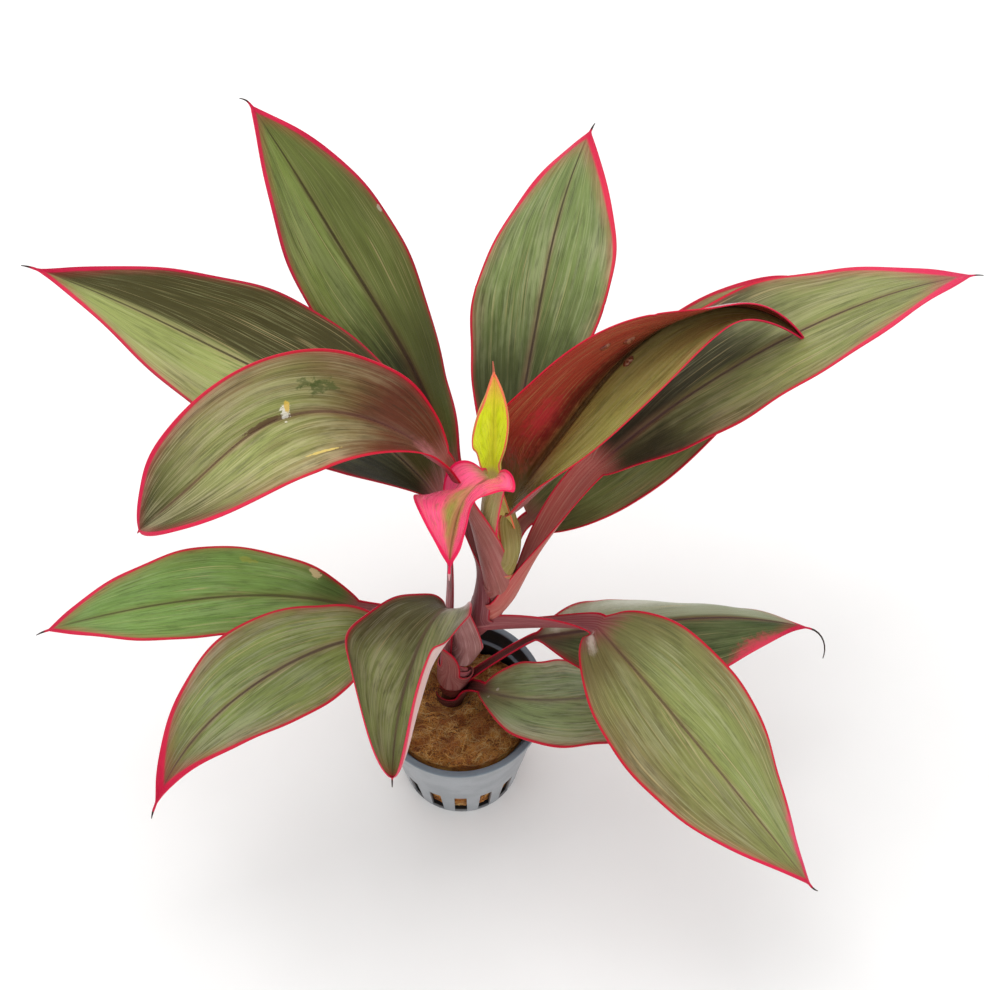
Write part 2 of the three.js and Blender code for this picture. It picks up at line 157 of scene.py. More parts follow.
class Shader:
    """One material and the nodes that make it."""

    def __init__(self, name: str) -> None:
        """Starts an empty material.

        Args:
            name: The material's name.
        """
        self.material = bpy.data.materials.new(name)
        self.material.use_nodes = True
        self.tree = self.material.node_tree
        self.tree.nodes.clear()

    def add(self, kind: str, settings: Mapping[str, object],
            sockets: Mapping[object, object]) -> bpy.types.Node:
        """Adds any node.

        Args:
            kind: The node's type.
            settings: Its own properties, and "stops" for a colour ramp.
            sockets: The value or link of each input, by name or number.

        Returns:
            The node.
        """
        node = self.tree.nodes.new(kind)
        for key, value in settings.items():
            if key == "stops":
                self._set_stops(node.color_ramp, value)
            else:
                setattr(node, key, value)
        for key, value in sockets.items():
            if isinstance(value, Wire):
                self.tree.links.new(value.socket, node.inputs[key])
            else:
                node.inputs[key].default_value = value
        return node

    def wire(self, kind: str, settings: Mapping[str, object], sockets: Mapping[object, object],
             output: int | str = 0) -> Wire:
        """Adds any node, as add does, and gives one of its outputs."""
        return Wire(self, self.add(kind, settings, sockets).outputs[output])

    @staticmethod
    def _set_stops(ramp: bpy.types.ColorRamp, stops: Sequence[tuple[float, str]]) -> None:
        """Gives a ramp its places and colours.

        Args:
            ramp: The ramp, which starts with two stops.
            stops: Each stop's place from 0 to 1 and its colour.
        """
        while len(ramp.elements) < len(stops):
            ramp.elements.new(1.0)
        for element, (place, colour) in zip(ramp.elements, stops):
            element.position = place
            element.color = colour_of(colour)

    def attribute(self, name: str) -> Wire:
        """Reads a vector stored on the mesh."""
        return self.wire("ShaderNodeAttribute", {"attribute_name": name}, {}, "Vector")

    def position(self) -> Wire:
        """Gives the point in the object's own frame, in metres."""
        return self.wire("ShaderNodeTexCoord", {}, {}, "Object")

    def position_mm(self) -> Wire:
        """Gives the point in the object's own frame, in millimetres."""
        scale = {0: self.position(), "Scale": 1 / MM}
        return self.wire("ShaderNodeVectorMath", {"operation": "SCALE"}, scale)

    def vector(self, x: Wire | float, y: Wire | float, z: Wire | float) -> Wire:
        """Joins three values into a vector."""
        return self.wire("ShaderNodeCombineXYZ", {}, {0: x, 1: y, 2: z})

    def noise(self, place: Wire, scale: float = 1.0, detail: float = 2.0, rough: float = 0.5) -> Wire:
        """Gives smooth noise.

        Args:
            place: Where to read it.
            scale: How many features a unit of length holds.
            detail: How many finer layers are added.
            rough: How strong those layers are.

        Returns:
            A value from 0 to 1 that keeps near a half.
        """
        sockets = {"Vector": place, "Scale": scale, "Detail": detail, "Roughness": rough}
        return self.wire("ShaderNodeTexNoise", {}, sockets)

    def blend(self, first: Wire | str, second: Wire | str, share: Wire | float) -> Wire:
        """Mixes two colours.

        Args:
            first: The colour at a share of 0, a wire or "#rrggbb".
            second: The colour at a share of 1.
            share: How much of the second shows.

        Returns:
            The mixed colour.
        """
        pair = [colour_of(c) if isinstance(c, str) else c for c in (first, second)]
        sockets = {0: share, 6: pair[0], 7: pair[1]}
        return self.wire("ShaderNodeMix", {"data_type": "RGBA", "clamp_factor": True}, sockets, 2)

    def ramp(self, value: Wire, stops: Sequence[tuple[float, str]]) -> Wire:
        """Colours a value by stops of place and colour."""
        return self.wire("ShaderNodeValToRGB", {"stops": stops}, {0: value})

    def finish(self, colour: Wire, roughness: Wire | float, height: Wire, depth: float,
               others: Mapping[str, Wire | float]) -> bpy.types.Material:
        """Closes the material with one Principled shader.

        Args:
            colour: Base colour over the surface.
            roughness: Roughness over the surface.
            height: Relief over the surface, in units of depth.
            depth: Height of the relief, in millimetres.
            others: Other sockets of the shader.

        Returns:
            The material.
        """
        bump = self.wire("ShaderNodeBump", {}, {"Strength": 1.0, "Distance": depth * MM, "Height": height})
        sockets = {"Base Color": colour, "Roughness": roughness, "Normal": bump, **others}
        principled = self.wire("ShaderNodeBsdfPrincipled", {}, sockets)
        self.add("ShaderNodeOutputMaterial", {}, {"Surface": principled})
        return self.material


# Finishes of the plant


@dataclass(frozen=True)
class Mark:
    """A torn or pale place on a blade, or a patch of painted sheen, painted light or painted shade.

    place and reach are (across, along): across runs from -1 to 1 between the margins and along from
    0 at the blade's base to 1 at its tip.
    """

    place: tuple[float, float]
    reach: tuple[float, float]
    colour: str
    strength: float = 0.8
    ragged: float = 1.3
    softness: float = 0.3

    def mask(self, across: Wire, along: Wire, rough: Wire) -> Wire:
        """Gives how much of the mark shows.

        Args:
            across: Place across the blade.
            along: Place along the blade.
            rough: Noise that frays the mark's edge.

        Returns:
            A value from 0 to the mark's strength.
        """
        dx = (across - self.place[0]) / self.reach[0]
        dy = (along - self.place[1]) / self.reach[1]
        gap = (dx * dx + dy * dy) ** 0.5 + (rough - 0.5) * (2 * self.ragged)
        return gap.fall(1 - self.softness, 1.0) * self.strength


@dataclass(frozen=True)
class BladeFinish:
    """How one leaf is coloured. Most colours are those of evenly lit leaf, but the base tint, the half
    tints, the sheen, the emission and some marks carry painted light and shade.

    Widths are millimetres, and starts, ends and reaches are places along the blade, or across it
    for the edge. right and left tint one half as far as halves_end: right with painted shade, and left with
    the half's own red on the young bronze leaf, painted light on the level right leaf and painted shade on
    the others.
    """

    green: str = "#6f8044"
    deep: str = "#49552b"
    # Painted sheen: pale patches that stand in for light glancing off the glossy blade. The same colour also
    # draws pale fine lines.
    pale: str = "#a3aa84"
    painted_sheen_amount: float = 0.35
    edge: str = "#6b3f35"
    edge_start: float = 0.55
    edge_end: float = 1.1
    edge_strength: float = 0.6
    # Darker toward the blade's base: the leaf's own base tint, deepened on most leaves into painted shade
    # where the middle of the plant shades it.
    base_tint_and_shade: str = "#5a3a2c"
    base_tint_and_shade_reach: float = 0.22
    base_tint_and_shade_strength: float = 0.6
    tip: str = "#8a4a4a"
    tip_start: float = 0.8
    tip_strength: float = 0.35
    rib: str = "#4d3036"
    rib_width: float = 0.6
    rib_strength: float = 0.65
    stain: float = 0.6
    margin: str = "#c8082f"
    margin_tip: str = "#e0184e"
    margin_width: float = 0.7
    margin_tip_width: float = 0.9
    streak: str = "#c0ad7c"
    streaks: float = 0.45
    # Half tints: the right one is painted shade; the left one is the half's own red on the young bronze
    # leaf, painted light on the level right leaf and painted shade on the others.
    right: str = "#33391c"
    right_shade_amount: float = 0.0
    left: str = "#33391c"
    left_tint_light_and_shade_amount: float = 0.0
    halves_end: float = 2.0
    petiole: str = "#8a4a4d"
    petiole_line: str = "#c08a84"
    sheath: str = "#8d5450"
    thread: str = "#2c140f"
    under: str = "#a08a74"
    under_pink: str = "#b8707c"
    under_vein: str = "#5c4a3c"
    vein: str = "#24240f"
    roughness: float = 0.42
    # Painted light: the blade emits its own colour so that it looks bright where it stands in shade.
    painted_glow: float = 0.0
    marks: tuple[Mark, ...] = ()
    seed: float = 0.0


@dataclass(frozen=True)
class Weave:
    """A layer of noise on a leaf: how close it is each way, its own seed and its finer layers."""

    across: float
    along: float
    seed: float
    detail: float = 2.0
    rough: float = 0.5


class LeafSkin:
    """One leaf's material: the places on the leaf, the noise along its veins and its layers of colour.

    across runs from -1 to 1 and far from 0 to 1 at the margins, along from 0 at the blade's base to 1
    at its tip, and width, length and to_margin are millimetres from the midrib, the base and the margin.
    """

    VEINS = 20
    VEIN_SLANT = 12
    OTHER_HALF = 37
    FINE = Weave(2.6, 5, 0, 3, 0.6)
    MIDDLING = Weave(0.75, 2.6, 3, 3)
    BROAD = Weave(0.16, 3.2, 7)
    BLOTCH = Weave(0.11, 0.045, 11, 4, 0.62)
    MOTTLE = Weave(0.5, 9, 17, 4, 0.65)
    STREAK = Weave(1.7, 1.3, 21, 1.5)
    BREAKS = Weave(0.3, 7, 29, 1)
    STALK_LINES = Weave(13, 0.035, 41, 3, 0.6)
    STALK_CLOUD = Weave(1.2, 0.09, 47, 3)
    TORN = Weave(0.55, 0.4, 53, 4, 0.7)
    RELIEF = 0.34
    GLOSS = 0.2

    def __init__(self, finish: BladeFinish, name: str) -> None:
        """Reads the vectors leaf_place and leaf_size of the mesh and spreads the noise.

        Args:
            finish: The leaf's colours.
            name: The material's name.
        """
        self.finish, self.s = finish, Shader(name)
        self.across, self.along, self.upper = self.s.attribute("leaf_place").split()
        self.width, self.length, self.to_margin = self.s.attribute("leaf_size").split()
        self.far = abs(self.across)
        half = self.across.rise(-0.02, 0.02) * self.OTHER_HALF
        self.vein = self.far * self.VEINS - (1 - self.far) * self.along * self.VEIN_SLANT + half
        weaves = self.FINE, self.MIDDLING, self.BROAD
        self.fine, self.middling, self.broad = (self._veined(weave) for weave in weaves)
        self.blotch = self._noise(self.BLOTCH, self.width, self.length)

    def _noise(self, weave: Weave, x: Wire, y: Wire) -> Wire:
        """Gives a layer of noise over two coordinates."""
        place = self.s.vector(x * weave.across, y * weave.along, self.finish.seed + weave.seed)
        return self.s.noise(place, detail=weave.detail, rough=weave.rough)

    def _veined(self, weave: Weave) -> Wire:
        """Gives a layer of noise drawn out along the veins."""
        return self._noise(weave, self.vein, self.along)

    def _uneven(self, place: Wire, amount: float) -> Wire:
        """Frays a place by the cloudy noise."""
        return place + (self.blotch - 0.5) * amount

    def material(self, stalk: float) -> bpy.types.Material:
        """Lays all the colours over each other.

        Args:
            stalk: The petiole's length in millimetres.

        Returns:
            The material.
        """
        s, finish = self.s, self.finish
        colour = self._rib(self._upper_face())
        colour = s.blend(colour, self._under_face(), 1 - self.upper.rise(0.35, 0.65))
        colour = self._stalk(colour)
        colour, edge = self._margin(colour, (self.length + stalk).fall(-4, 1))
        torn = self._noise(self.TORN, self.width, self.length)
        for mark in finish.marks:
            colour = s.blend(colour, mark.colour, mark.mask(self.across, self.along, torn) * self.upper)
        colour = s.blend(colour, finish.thread, self.along.rise(1.0, 1.012))
        ribbed = abs(self.width).fall(0.2, 1.4) * self.along.rise(0.0, 0.1)
        height = self.fine * 0.45 + self.middling * 0.5 - ribbed * 0.5 + edge * 0.25
        roughness = self.middling * 0.22 + self.fine * 0.12 + (finish.roughness - 0.17)
        sockets = {"Specular IOR Level": self.GLOSS}
        # Painted light: the blade emits its own colour so that it looks bright where it stands in shade.
        if finish.painted_glow:
            sockets.update({"Emission Color": colour, "Emission Strength": finish.painted_glow})
        return s.finish(colour, roughness, height, self.RELIEF, sockets)

    def _upper_face(self) -> Wire:
        """Colours the blade's upper face: green ground, bronze edge, a base tint with painted shade, painted
        sheen, tinted halves and tan streaks.

        Returns:
            The colour.
        """
        s, finish, along, blotch = self.s, self.finish, self.along, self.blotch
        colour = s.blend(finish.green, finish.deep, (self.broad * 0.6 + blotch * 0.4).rise(0.42, 0.68) * 0.8)
        edge = self._uneven(self.far, 0.9).rise(finish.edge_start, finish.edge_end)
        colour = s.blend(colour, finish.edge, edge * finish.edge_strength)
        # Painted shade over the base tint: the blade darkens toward its base, in the shade of the middle of
        # the plant.
        base_tint_and_shade = self._uneven(along, 0.25).fall(finish.base_tint_and_shade_reach * 0.35, finish.base_tint_and_shade_reach)
        colour = s.blend(colour, finish.base_tint_and_shade, base_tint_and_shade * finish.base_tint_and_shade_strength)
        tip = (self._uneven(along, 0.2) + self.far * 0.05).rise(finish.tip_start, 1.0)
        colour = s.blend(colour, finish.tip, tip * finish.tip_strength)
        # Painted sheen: pale patches laid where light glances off the blade.
        sheen = (self.middling * 0.5 + blotch * 0.5).rise(0.44, 0.62)
        # The painted sheen and the pale lines and streaks are held back where the base is painted dark.
        clear = 1 - base_tint_and_shade * 0.85
        colour = s.blend(colour, finish.pale, sheen * clear * finish.painted_sheen_amount)
        colour = s.blend(colour, finish.vein, self._veined(self.MOTTLE).rise(0.46, 0.72) * 0.42)
        # Painted shade on the right half, and on the left half painted light, painted shade or its own red
        # by leaf, fading out past halves_end.
        fade = self._uneven(along, 0.3).fall(finish.halves_end - 0.12, finish.halves_end + 0.12)
        colour = s.blend(colour, finish.right, self.across.fall(-0.14, 0.0) * fade * finish.right_shade_amount)
        colour = s.blend(colour, finish.left, self.across.rise(0.0, 0.14) * fade * finish.left_tint_light_and_shade_amount)
        colour = s.blend(colour, finish.vein, self.fine.rise(0.48, 0.7) * 0.3)
        colour = s.blend(colour, finish.pale, self.fine.fall(0.34, 0.46) * clear * 0.25)
        streak = self._veined(self.STREAK).rise(0.6, 0.68) * self._veined(self.BREAKS).rise(0.38, 0.58)
        streak = streak * along.rise(0.04, 0.16) * along.fall(0.86, 0.98)
        return s.blend(colour, finish.streak, streak * clear * finish.streaks)

    def _rib(self, colour: Wire) -> Wire:
        """Adds the dark midrib and the stain beside it.

        Args:
            colour: The blade's colour so far.

        Returns:
            The colour with the midrib.
        """
        from_rib, along = abs(self.width), self.along
        reach = self.finish.rib_width * (1.15 - along * 0.85)
        stain = from_rib.fall(0.0, reach * 4.5) * along.fall(0.75, 1.0) * (self.blotch + 0.1)
        line = from_rib.fall(reach * 0.45, reach * 1.15) * along.fall(0.9, 1.0)
        colour = self.s.blend(colour, self.finish.edge, stain * self.finish.stain)
        return self.s.blend(colour, self.finish.rib, line * self.finish.rib_strength)

    def _under_face(self) -> Wire:
        """Colours the blade's lower face, pinker toward its margins and tip.

        Returns:
            The colour.
        """
        pink = (self.far * 0.6 + self.along * 0.3 + self.middling * 0.5).rise(0.45, 1.1)
        colour = self.s.blend(self.finish.under, self.finish.under_pink, pink)
        return self.s.blend(colour, self.finish.under_vein, self.fine.rise(0.45, 0.75) * 0.35)

    def _stalk(self, colour: Wire) -> Wire:
        """Colours the petiole and sheath, lined lengthwise and paler on their ridges.

        Args:
            colour: The blade's colour so far.

        Returns:
            The colour with the stalk.
        """
        s, finish = self.s, self.finish
        lines = self._noise(self.STALK_LINES, self.across, self.length)
        cloud = self._noise(self.STALK_CLOUD, self.across, self.length)
        stalk = s.blend(finish.petiole, finish.petiole_line, lines.rise(0.42, 0.66) * 0.6)
        stalk = s.blend(stalk, finish.sheath, (cloud * 0.7 + self.fine * 0.3).rise(0.4, 0.62) * 0.5)
        return s.blend(colour, stalk, (self.along + (self.fine - 0.5) * 0.1).fall(-0.02, 0.07))

    def _margin(self, colour: Wire, clasping: Wire) -> tuple[Wire, Wire]:
        """Adds the crimson margin, with a stain that bleeds inward.

        Args:
            colour: The colour so far.
            clasping: 1 on the sheath and 0 on the petiole and blade.

        Returns:
            The colour and the margin's mask.
        """
        s, finish, along = self.s, self.finish, self.along
        reach = self._uneven(finish.margin_width + along.rise(0.55, 0.98) * finish.margin_tip_width, 0.6)
        reach = reach * (1 - along.fall(-0.06, 0.04) * 0.45)
        toward_tip = along.rise(0.45, 0.95) * 0.8 + (self.fine - 0.5) * 0.6
        red = s.blend(finish.margin, finish.margin_tip, toward_tip)
        bleed = self.to_margin.fall(0.0, reach * 3.2) * (self.blotch + 0.2)
        colour = s.blend(colour, red, bleed * 0.38)
        edge = self.to_margin.fall(reach * 0.7, reach * 1.15) * (1 - clasping * 0.92)
        return s.blend(colour, red, edge * 0.93), edge


@dataclass(frozen=True)
class MossFinish:
    """Damp orange-brown fibre in darker and brighter clumps with dry straw-coloured ends; each strand
    carries painted shade low down and painted light where it rises.
    """

    stops: tuple[tuple[float, str], ...] = (
        (0.0, "#220f03"), (0.26, "#93501c"), (0.46, "#d98a36"), (0.68, "#f6b352"), (1.0, "#ffdc96"),
    )
    rust: str = "#b45a20"

    def material(self, name: str) -> bpy.types.Material:
        """Makes the fibre's material, which reads the strand vector of the mesh.

        Args:
            name: The material's name.

        Returns:
            The material.
        """
        s = Shader(name)
        tone, height, _ = s.attribute("strand").split()
        place = s.position_mm()
        cloud = s.noise(place, scale=0.22, detail=3)
        grain = s.noise(place, scale=2.6, detail=4, rough=0.7)
        # Painted shade and light: each strand is darker near the bed and lighter where it rises off it.
        shade = tone * 0.55 + cloud * 1.1 + (grain - 0.5) * 0.8 + (height - 0.5) * 0.3 - 0.26
        warm = s.noise(place, scale=0.14, detail=3)
        colour = s.blend(s.ramp(shade, self.stops), self.rust, warm.rise(0.46, 0.62) * 0.5)
        constants = {"Specular IOR Level": 0.3, "Sheen Weight": 0.15}
        return s.finish(colour, 0.62 + grain * 0.3, grain + cloud * 0.5, 0.5, constants)


@dataclass(frozen=True)
class PotFinish:
    """Satin moulded plastic: pale grey outside, slate rim and a near-black inside."""

    body: str = "#8d9195"
    scuff: str = "#a5a8ac"
    foot: str = "#7a8087"
    rim: str = "#65707a"
    rim_wear: str = "#6f7c88"
    inside: str = "#141b20"
    ledge: str = "#66727d"

    def material(self, name: str, shell: "NetPot") -> bpy.types.Material:
        """Makes the pot's material.

        Args:
            name: The material's name.
            shell: The pot, whose sizes place the rim and the inside.

        Returns:
            The material.
        """
        s = Shader(name)
        place = s.position_mm()
        x, y, z = place.split()
        radius = (x * x + y * y) ** 0.5
        wall = z * ((shell.rim_radius - shell.lip - shell.foot_radius) / shell.height) + shell.foot_radius
        cloud = s.noise(place, scale=0.12, detail=4)
        grain = s.noise(place, scale=3.5, detail=3)
        scratch = s.noise(s.vector(x * 0.6, y * 0.6, z * 5), detail=3).rise(0.6, 0.7)
        colour = s.blend(self.body, self.scuff, cloud.rise(0.4, 0.65) * 0.5 + scratch * 0.25)
        colour = s.blend(colour, self.foot, z.fall(0.0, 9.0) * 0.35)
        inner = (wall - radius).rise(0.45, 0.75) * z.rise(0.2, 0.5)
        colour = s.blend(colour, self.inside, inner)
        lower = shell.height - shell.collar
        on_ledge = inner * z.rise(lower - 0.3, lower - 0.1) * z.fall(lower + 0.1, lower + 0.4)
        colour = s.blend(colour, self.ledge, on_ledge)
        on_rim = z.rise(shell.height - 0.75, shell.height - 0.35)
        colour = s.blend(colour, s.blend(self.rim, self.rim_wear, cloud.rise(0.45, 0.7) * 0.5), on_rim)
        height = grain * 0.4 + cloud + scratch * 0.2
        return s.finish(colour, 0.36 + grain * 0.2 - inner * 0.1, height, 0.1, {"Specular IOR Level": 0.45})


@dataclass(frozen=True)
class CaneFinish:
    """Ringed brown-green bark."""

    bark: str = "#5e3a2c"
    young: str = "#8f6a44"
    scar: str = "#4a2c26"

    def material(self, name: str) -> bpy.types.Material:
        """Makes the cane's material.

        Args:
            name: The material's name.

        Returns:
            The material.
        """
        s = Shader(name)
        place = s.position_mm()
        _, _, z = place.split()
        grain = s.noise(place, scale=1.4, detail=4)
        ring = (z * 1.15 + grain * 2).sine().rise(0.82, 0.98)
        colour = s.blend(self.bark, self.young, z.rise(60, 120) * 0.7 + grain * 0.3)
        colour = s.blend(colour, self.scar, ring * 0.7)
        return s.finish(colour, 0.5 + grain * 0.2, grain - ring * 0.6, 0.3, {"Specular IOR Level": 0.4})


@dataclass(frozen=True)
class FloorFinish:
    """Plain pale studio floor."""

    tone: str = "#f4f4f3"
    bright: str = "#ffffff"

    def material(self, name: str) -> bpy.types.Material:
        """Makes the floor's material.

        Args:
            name: The material's name.

        Returns:
            The material.
        """
        s = Shader(name)
        soft = s.noise(s.position(), scale=40)
        colour = s.blend(self.tone, self.bright, soft * 0.3)
        return s.finish(colour, 0.7 + soft * 0.1, soft, 0.02, {"Specular IOR Level": 0.2})


@dataclass(frozen=True)
class WaterFinish:
    """Clear water that shows the leaf's brown through it."""

    tint: str = "#9a4a34"
    clear: str = "#d89c7a"

    def material(self, name: str) -> bpy.types.Material:
        """Makes the water's material.

        Args:
            name: The material's name.

        Returns:
            The material.
        """
        s = Shader(name)
        cloud = s.noise(s.position_mm(), scale=0.9)
        colour = s.blend(self.tint, self.clear, cloud.rise(0.4, 0.6))
        sockets = {"IOR": 1.33, "Specular IOR Level": 0.9, "Transmission Weight": 0.55}
        return s.finish(colour, 0.04 + cloud * 0.05, cloud, 0.02, sockets)


# Meshes


def make_piece(name: str, points: Grid, faces: Sequence[Face], material: bpy.types.Material,
               part: Part | None, node: str | None = None,
               layers: Mapping[str, Grid] | None = None) -> bpy.types.Object:
    """Makes one mesh object.

    Args:
        name: The object's name.
        points: Vertices in millimetres, one row each.
        faces: Vertex numbers of each face, anticlockwise seen from outside.
        material: Its finish.
        part: The record's material slot that it belongs to, or None for what isn't part of the plant; only
            whether it is None is read.
        node: The plain solid that it replaces, if any.
        layers: Vectors to store on the vertices, by name.

    Returns:
        The object, which rides on the plant's body when part is given.
    """
    mesh = bpy.data.meshes.new(name)
    mesh.from_pydata((np.asarray(points) * MM).tolist(), [], [list(face) for face in faces])
    for key, values in (layers or {}).items():
        layer = mesh.attributes.new(key, "FLOAT_VECTOR", "POINT")
        layer.data.foreach_set("vector", np.asarray(values, np.float32).ravel())
    mesh.polygons.foreach_set("use_smooth", [True] * len(mesh.polygons))
    mesh.materials.append(material)
    mesh.update()
    piece = bpy.data.objects.new(name, mesh)
    bpy.context.scene.collection.objects.link(piece)
    if part is not None:
        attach(piece, "root")
    if node is not None:
        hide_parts(node)
    log.info("%s: %d faces", name, len(mesh.polygons))
    return piece


def smooth(x: Grid | float) -> Grid:
    """Gives a smooth step from 0 to 1."""
    u = np.clip(x, 0.0, 1.0)
    return u * u * (3 - 2 * u)


def mix(a: Grid | float, b: Grid | float, share: Grid | float) -> Grid | float:
    """Gives a at a share of 0 and b at a share of 1."""
    return a + (b - a) * share


def unit(vectors: Grid) -> Grid:
    """Scales each vector to a length of 1."""
    return vectors / np.linalg.norm(vectors, axis=-1, keepdims=True)


def level_with(vectors: Grid, axis: Grid) -> Grid:
    """Turns each vector square to its axis, at a length of 1."""
    return unit(vectors - (vectors * axis).sum(-1, keepdims=True) * axis)


def lengths_along(points: Grid) -> Grid:
    """Gives the length walked from the first point to each point."""
    return np.concatenate([[0], np.cumsum(np.linalg.norm(np.diff(points, axis=0), axis=1))])


def round_about(count: int) -> Grid:
    """Gives that many even angles round a circle."""
    return np.linspace(0, 2 * np.pi, count, endpoint=False)


def on_circle(radius: Grid | float, angle: Grid, *height: Grid) -> Grid:
    """Gives points on a circle in plan, with their heights if there are any."""
    return np.stack([radius * np.cos(angle), radius * np.sin(angle), *height], -1)


def through(values: Sequence[float], x: Grid) -> Grid:
    """Reads a smooth curve through values that are evenly spread from 0 to 1.

    Args:
        values: The values to pass through.
        x: Where to read the curve.

    Returns:
        The curve's height at each x.
    """
    values = np.asarray(values, float)
    last = len(values) - 1
    place = np.clip(x, 0.0, 1.0) * last
    i = np.minimum(last - 1, np.floor(place).astype(int))
    t = place - i
    before, after = np.maximum(0, np.arange(last + 1) - 1), np.minimum(last, np.arange(last + 1) + 1)
    slopes = (values[after] - values[before]) / (after - before)
    along = mix(values[i], values[i + 1], t * t * (3 - 2 * t))
    return along + slopes[i] * t * (1 - t) ** 2 - slopes[i + 1] * t * t * (1 - t)


@dataclass(frozen=True)
class Lattice:
    """Numbers of vertices that lie in rows, each row closed on itself."""

    columns: int
    first: int = 0

    def at(self, row: int, column: int) -> int:
        """Gives the number of one vertex."""
        return self.first + row * self.columns + column % self.columns

    def ring(self, row: int) -> Face:
        """Gives a row's vertices in order."""
        return tuple(self.at(row, c) for c in range(self.columns))

    def fan(self, row: int, tip: int) -> list[Face]:
        """Joins each edge of a row to one vertex."""
        return [(self.at(row, c), self.at(row, c + 1), tip) for c in range(self.columns)]

    def quad(self, low: int, high: int, left: int, right: int) -> Face:
        """Joins two places on each of two rows."""
        return self.at(low, left), self.at(low, right), self.at(high, right), self.at(high, left)

    def skin(self, rows: int, left_open: Collection[tuple[int, int]] = ()) -> list[Face]:
        """Joins neighbouring rows with quads, except the cells left open, by lower row and column."""
        cells = ((r, c) for r in range(rows - 1) for c in range(self.columns) if (r, c) not in left_open)
        return [self.quad(r, r + 1, c, c + 1) for r, c in cells]


@dataclass(frozen=True)
class Cane:
    """The short stem, which leans right and back as it rises."""

    course: tuple[tuple[float, float, float], ...] = (
        (-3.6, 5.5, 30.0), (-1.2, 8.7, 46.0), (3.2, 11.8, 64.0),
        (9.4, 13.4, 82.0), (11.8, 14.8, 102.0), (10.9, 18.2, 124.0),
    )
    radius: float = 2.25
    tip_radius: float = 1.6
    root_radius: float = 2.9
    root_length: float = 7.0
    length: float = 76.0
    scars_per_mm: float = 1.15
    scar_depth: float = 0.03
    sides: int = 28
    steps: int = 120
    finish: CaneFinish = CaneFinish()

    def from_foot(self, x: Grid, y: Grid) -> Grid:
        """Gives the distance in plan from where the cane leaves the fibre."""
        return np.hypot(x - self.course[0][0], y - self.course[0][1])

    def directions(self, height: Grid, bearing: float) -> tuple[Grid, Grid, Grid, Grid]:
        """Gives the cane's local directions.

        Args:
            height: Lengths along the cane from its foot.
            bearing: Compass side in degrees, anticlockwise from +X.

        Returns:
            The middle, the axis, the outward direction and the sideways direction at each height.
        """
        share = np.linspace(0, 1, 401)
        line = np.stack([through(values, share) for values in zip(*self.course)], -1)
        lengths = lengths_along(line)
        slope = np.gradient(line, lengths, axis=0)
        middle, axis = (
            np.stack([np.interp(np.maximum(height, 0), lengths, values) for values in curve.T], -1)
            for curve in (line, slope)
        )
        axis = unit(axis)
        middle = middle + axis * np.minimum(0, height)[..., None]
        turn = math.radians(bearing)
        out = level_with(np.broadcast_to([math.cos(turn), math.sin(turn), 0.0], axis.shape), axis)
        return middle, axis, out, np.cross(axis, out)

    def build(self) -> bpy.types.Object:
        """Makes the cane with a low ring at each leaf scar.

        Returns:
            The cane.
        """
        heights = np.linspace(-self.root_length, self.length, self.steps)
        middle, _, out, side = self.directions(heights, 0.0)
        stem = mix(self.radius, self.tip_radius, np.clip(heights / self.length, 0, 1))
        radius = mix(self.root_radius, stem, smooth((heights + 2) / 4))
        radius = radius * (1 - self.scar_depth * (1 + np.sin(heights * self.scars_per_mm)) ** 2 / 4)
        turn = round_about(self.sides)[:, None]
        ring = np.cos(turn) * out[:, None] + np.sin(turn) * side[:, None]
        points = (middle[:, None] + ring * radius[:, None, None]).reshape(-1, 3)
        lattice = Lattice(self.sides)
        faces = lattice.skin(self.steps) + [lattice.ring(0)[::-1], lattice.ring(self.steps - 1)]
        return make_piece("cane_bark", points, faces, self.finish.material("cane_bark"), Part.CANE, "cane")


CANE = Cane()


class Rows:
    """A leaf's cross-sections from the sheath's foot to the thread's end, in named columns."""

    def __init__(self) -> None:
        """Starts with no rows."""
        self.columns: dict[str, list[Grid]] = {}

    def __getitem__(self, name: str) -> list[Grid]:
        """Gives a column's stretches: the sheath's, the petiole's, the blade's and the thread's."""
        return self.columns[name]

    def put(self, **columns: Grid) -> None:
        """Adds a stretch of rows, one array for each column."""
        for name, values in columns.items():
            self.columns.setdefault(name, []).append(np.asarray(values, float))

    def joined(self, name: str) -> Grid:
        """Gives one column over all rows."""
        return np.concatenate(self.columns[name])


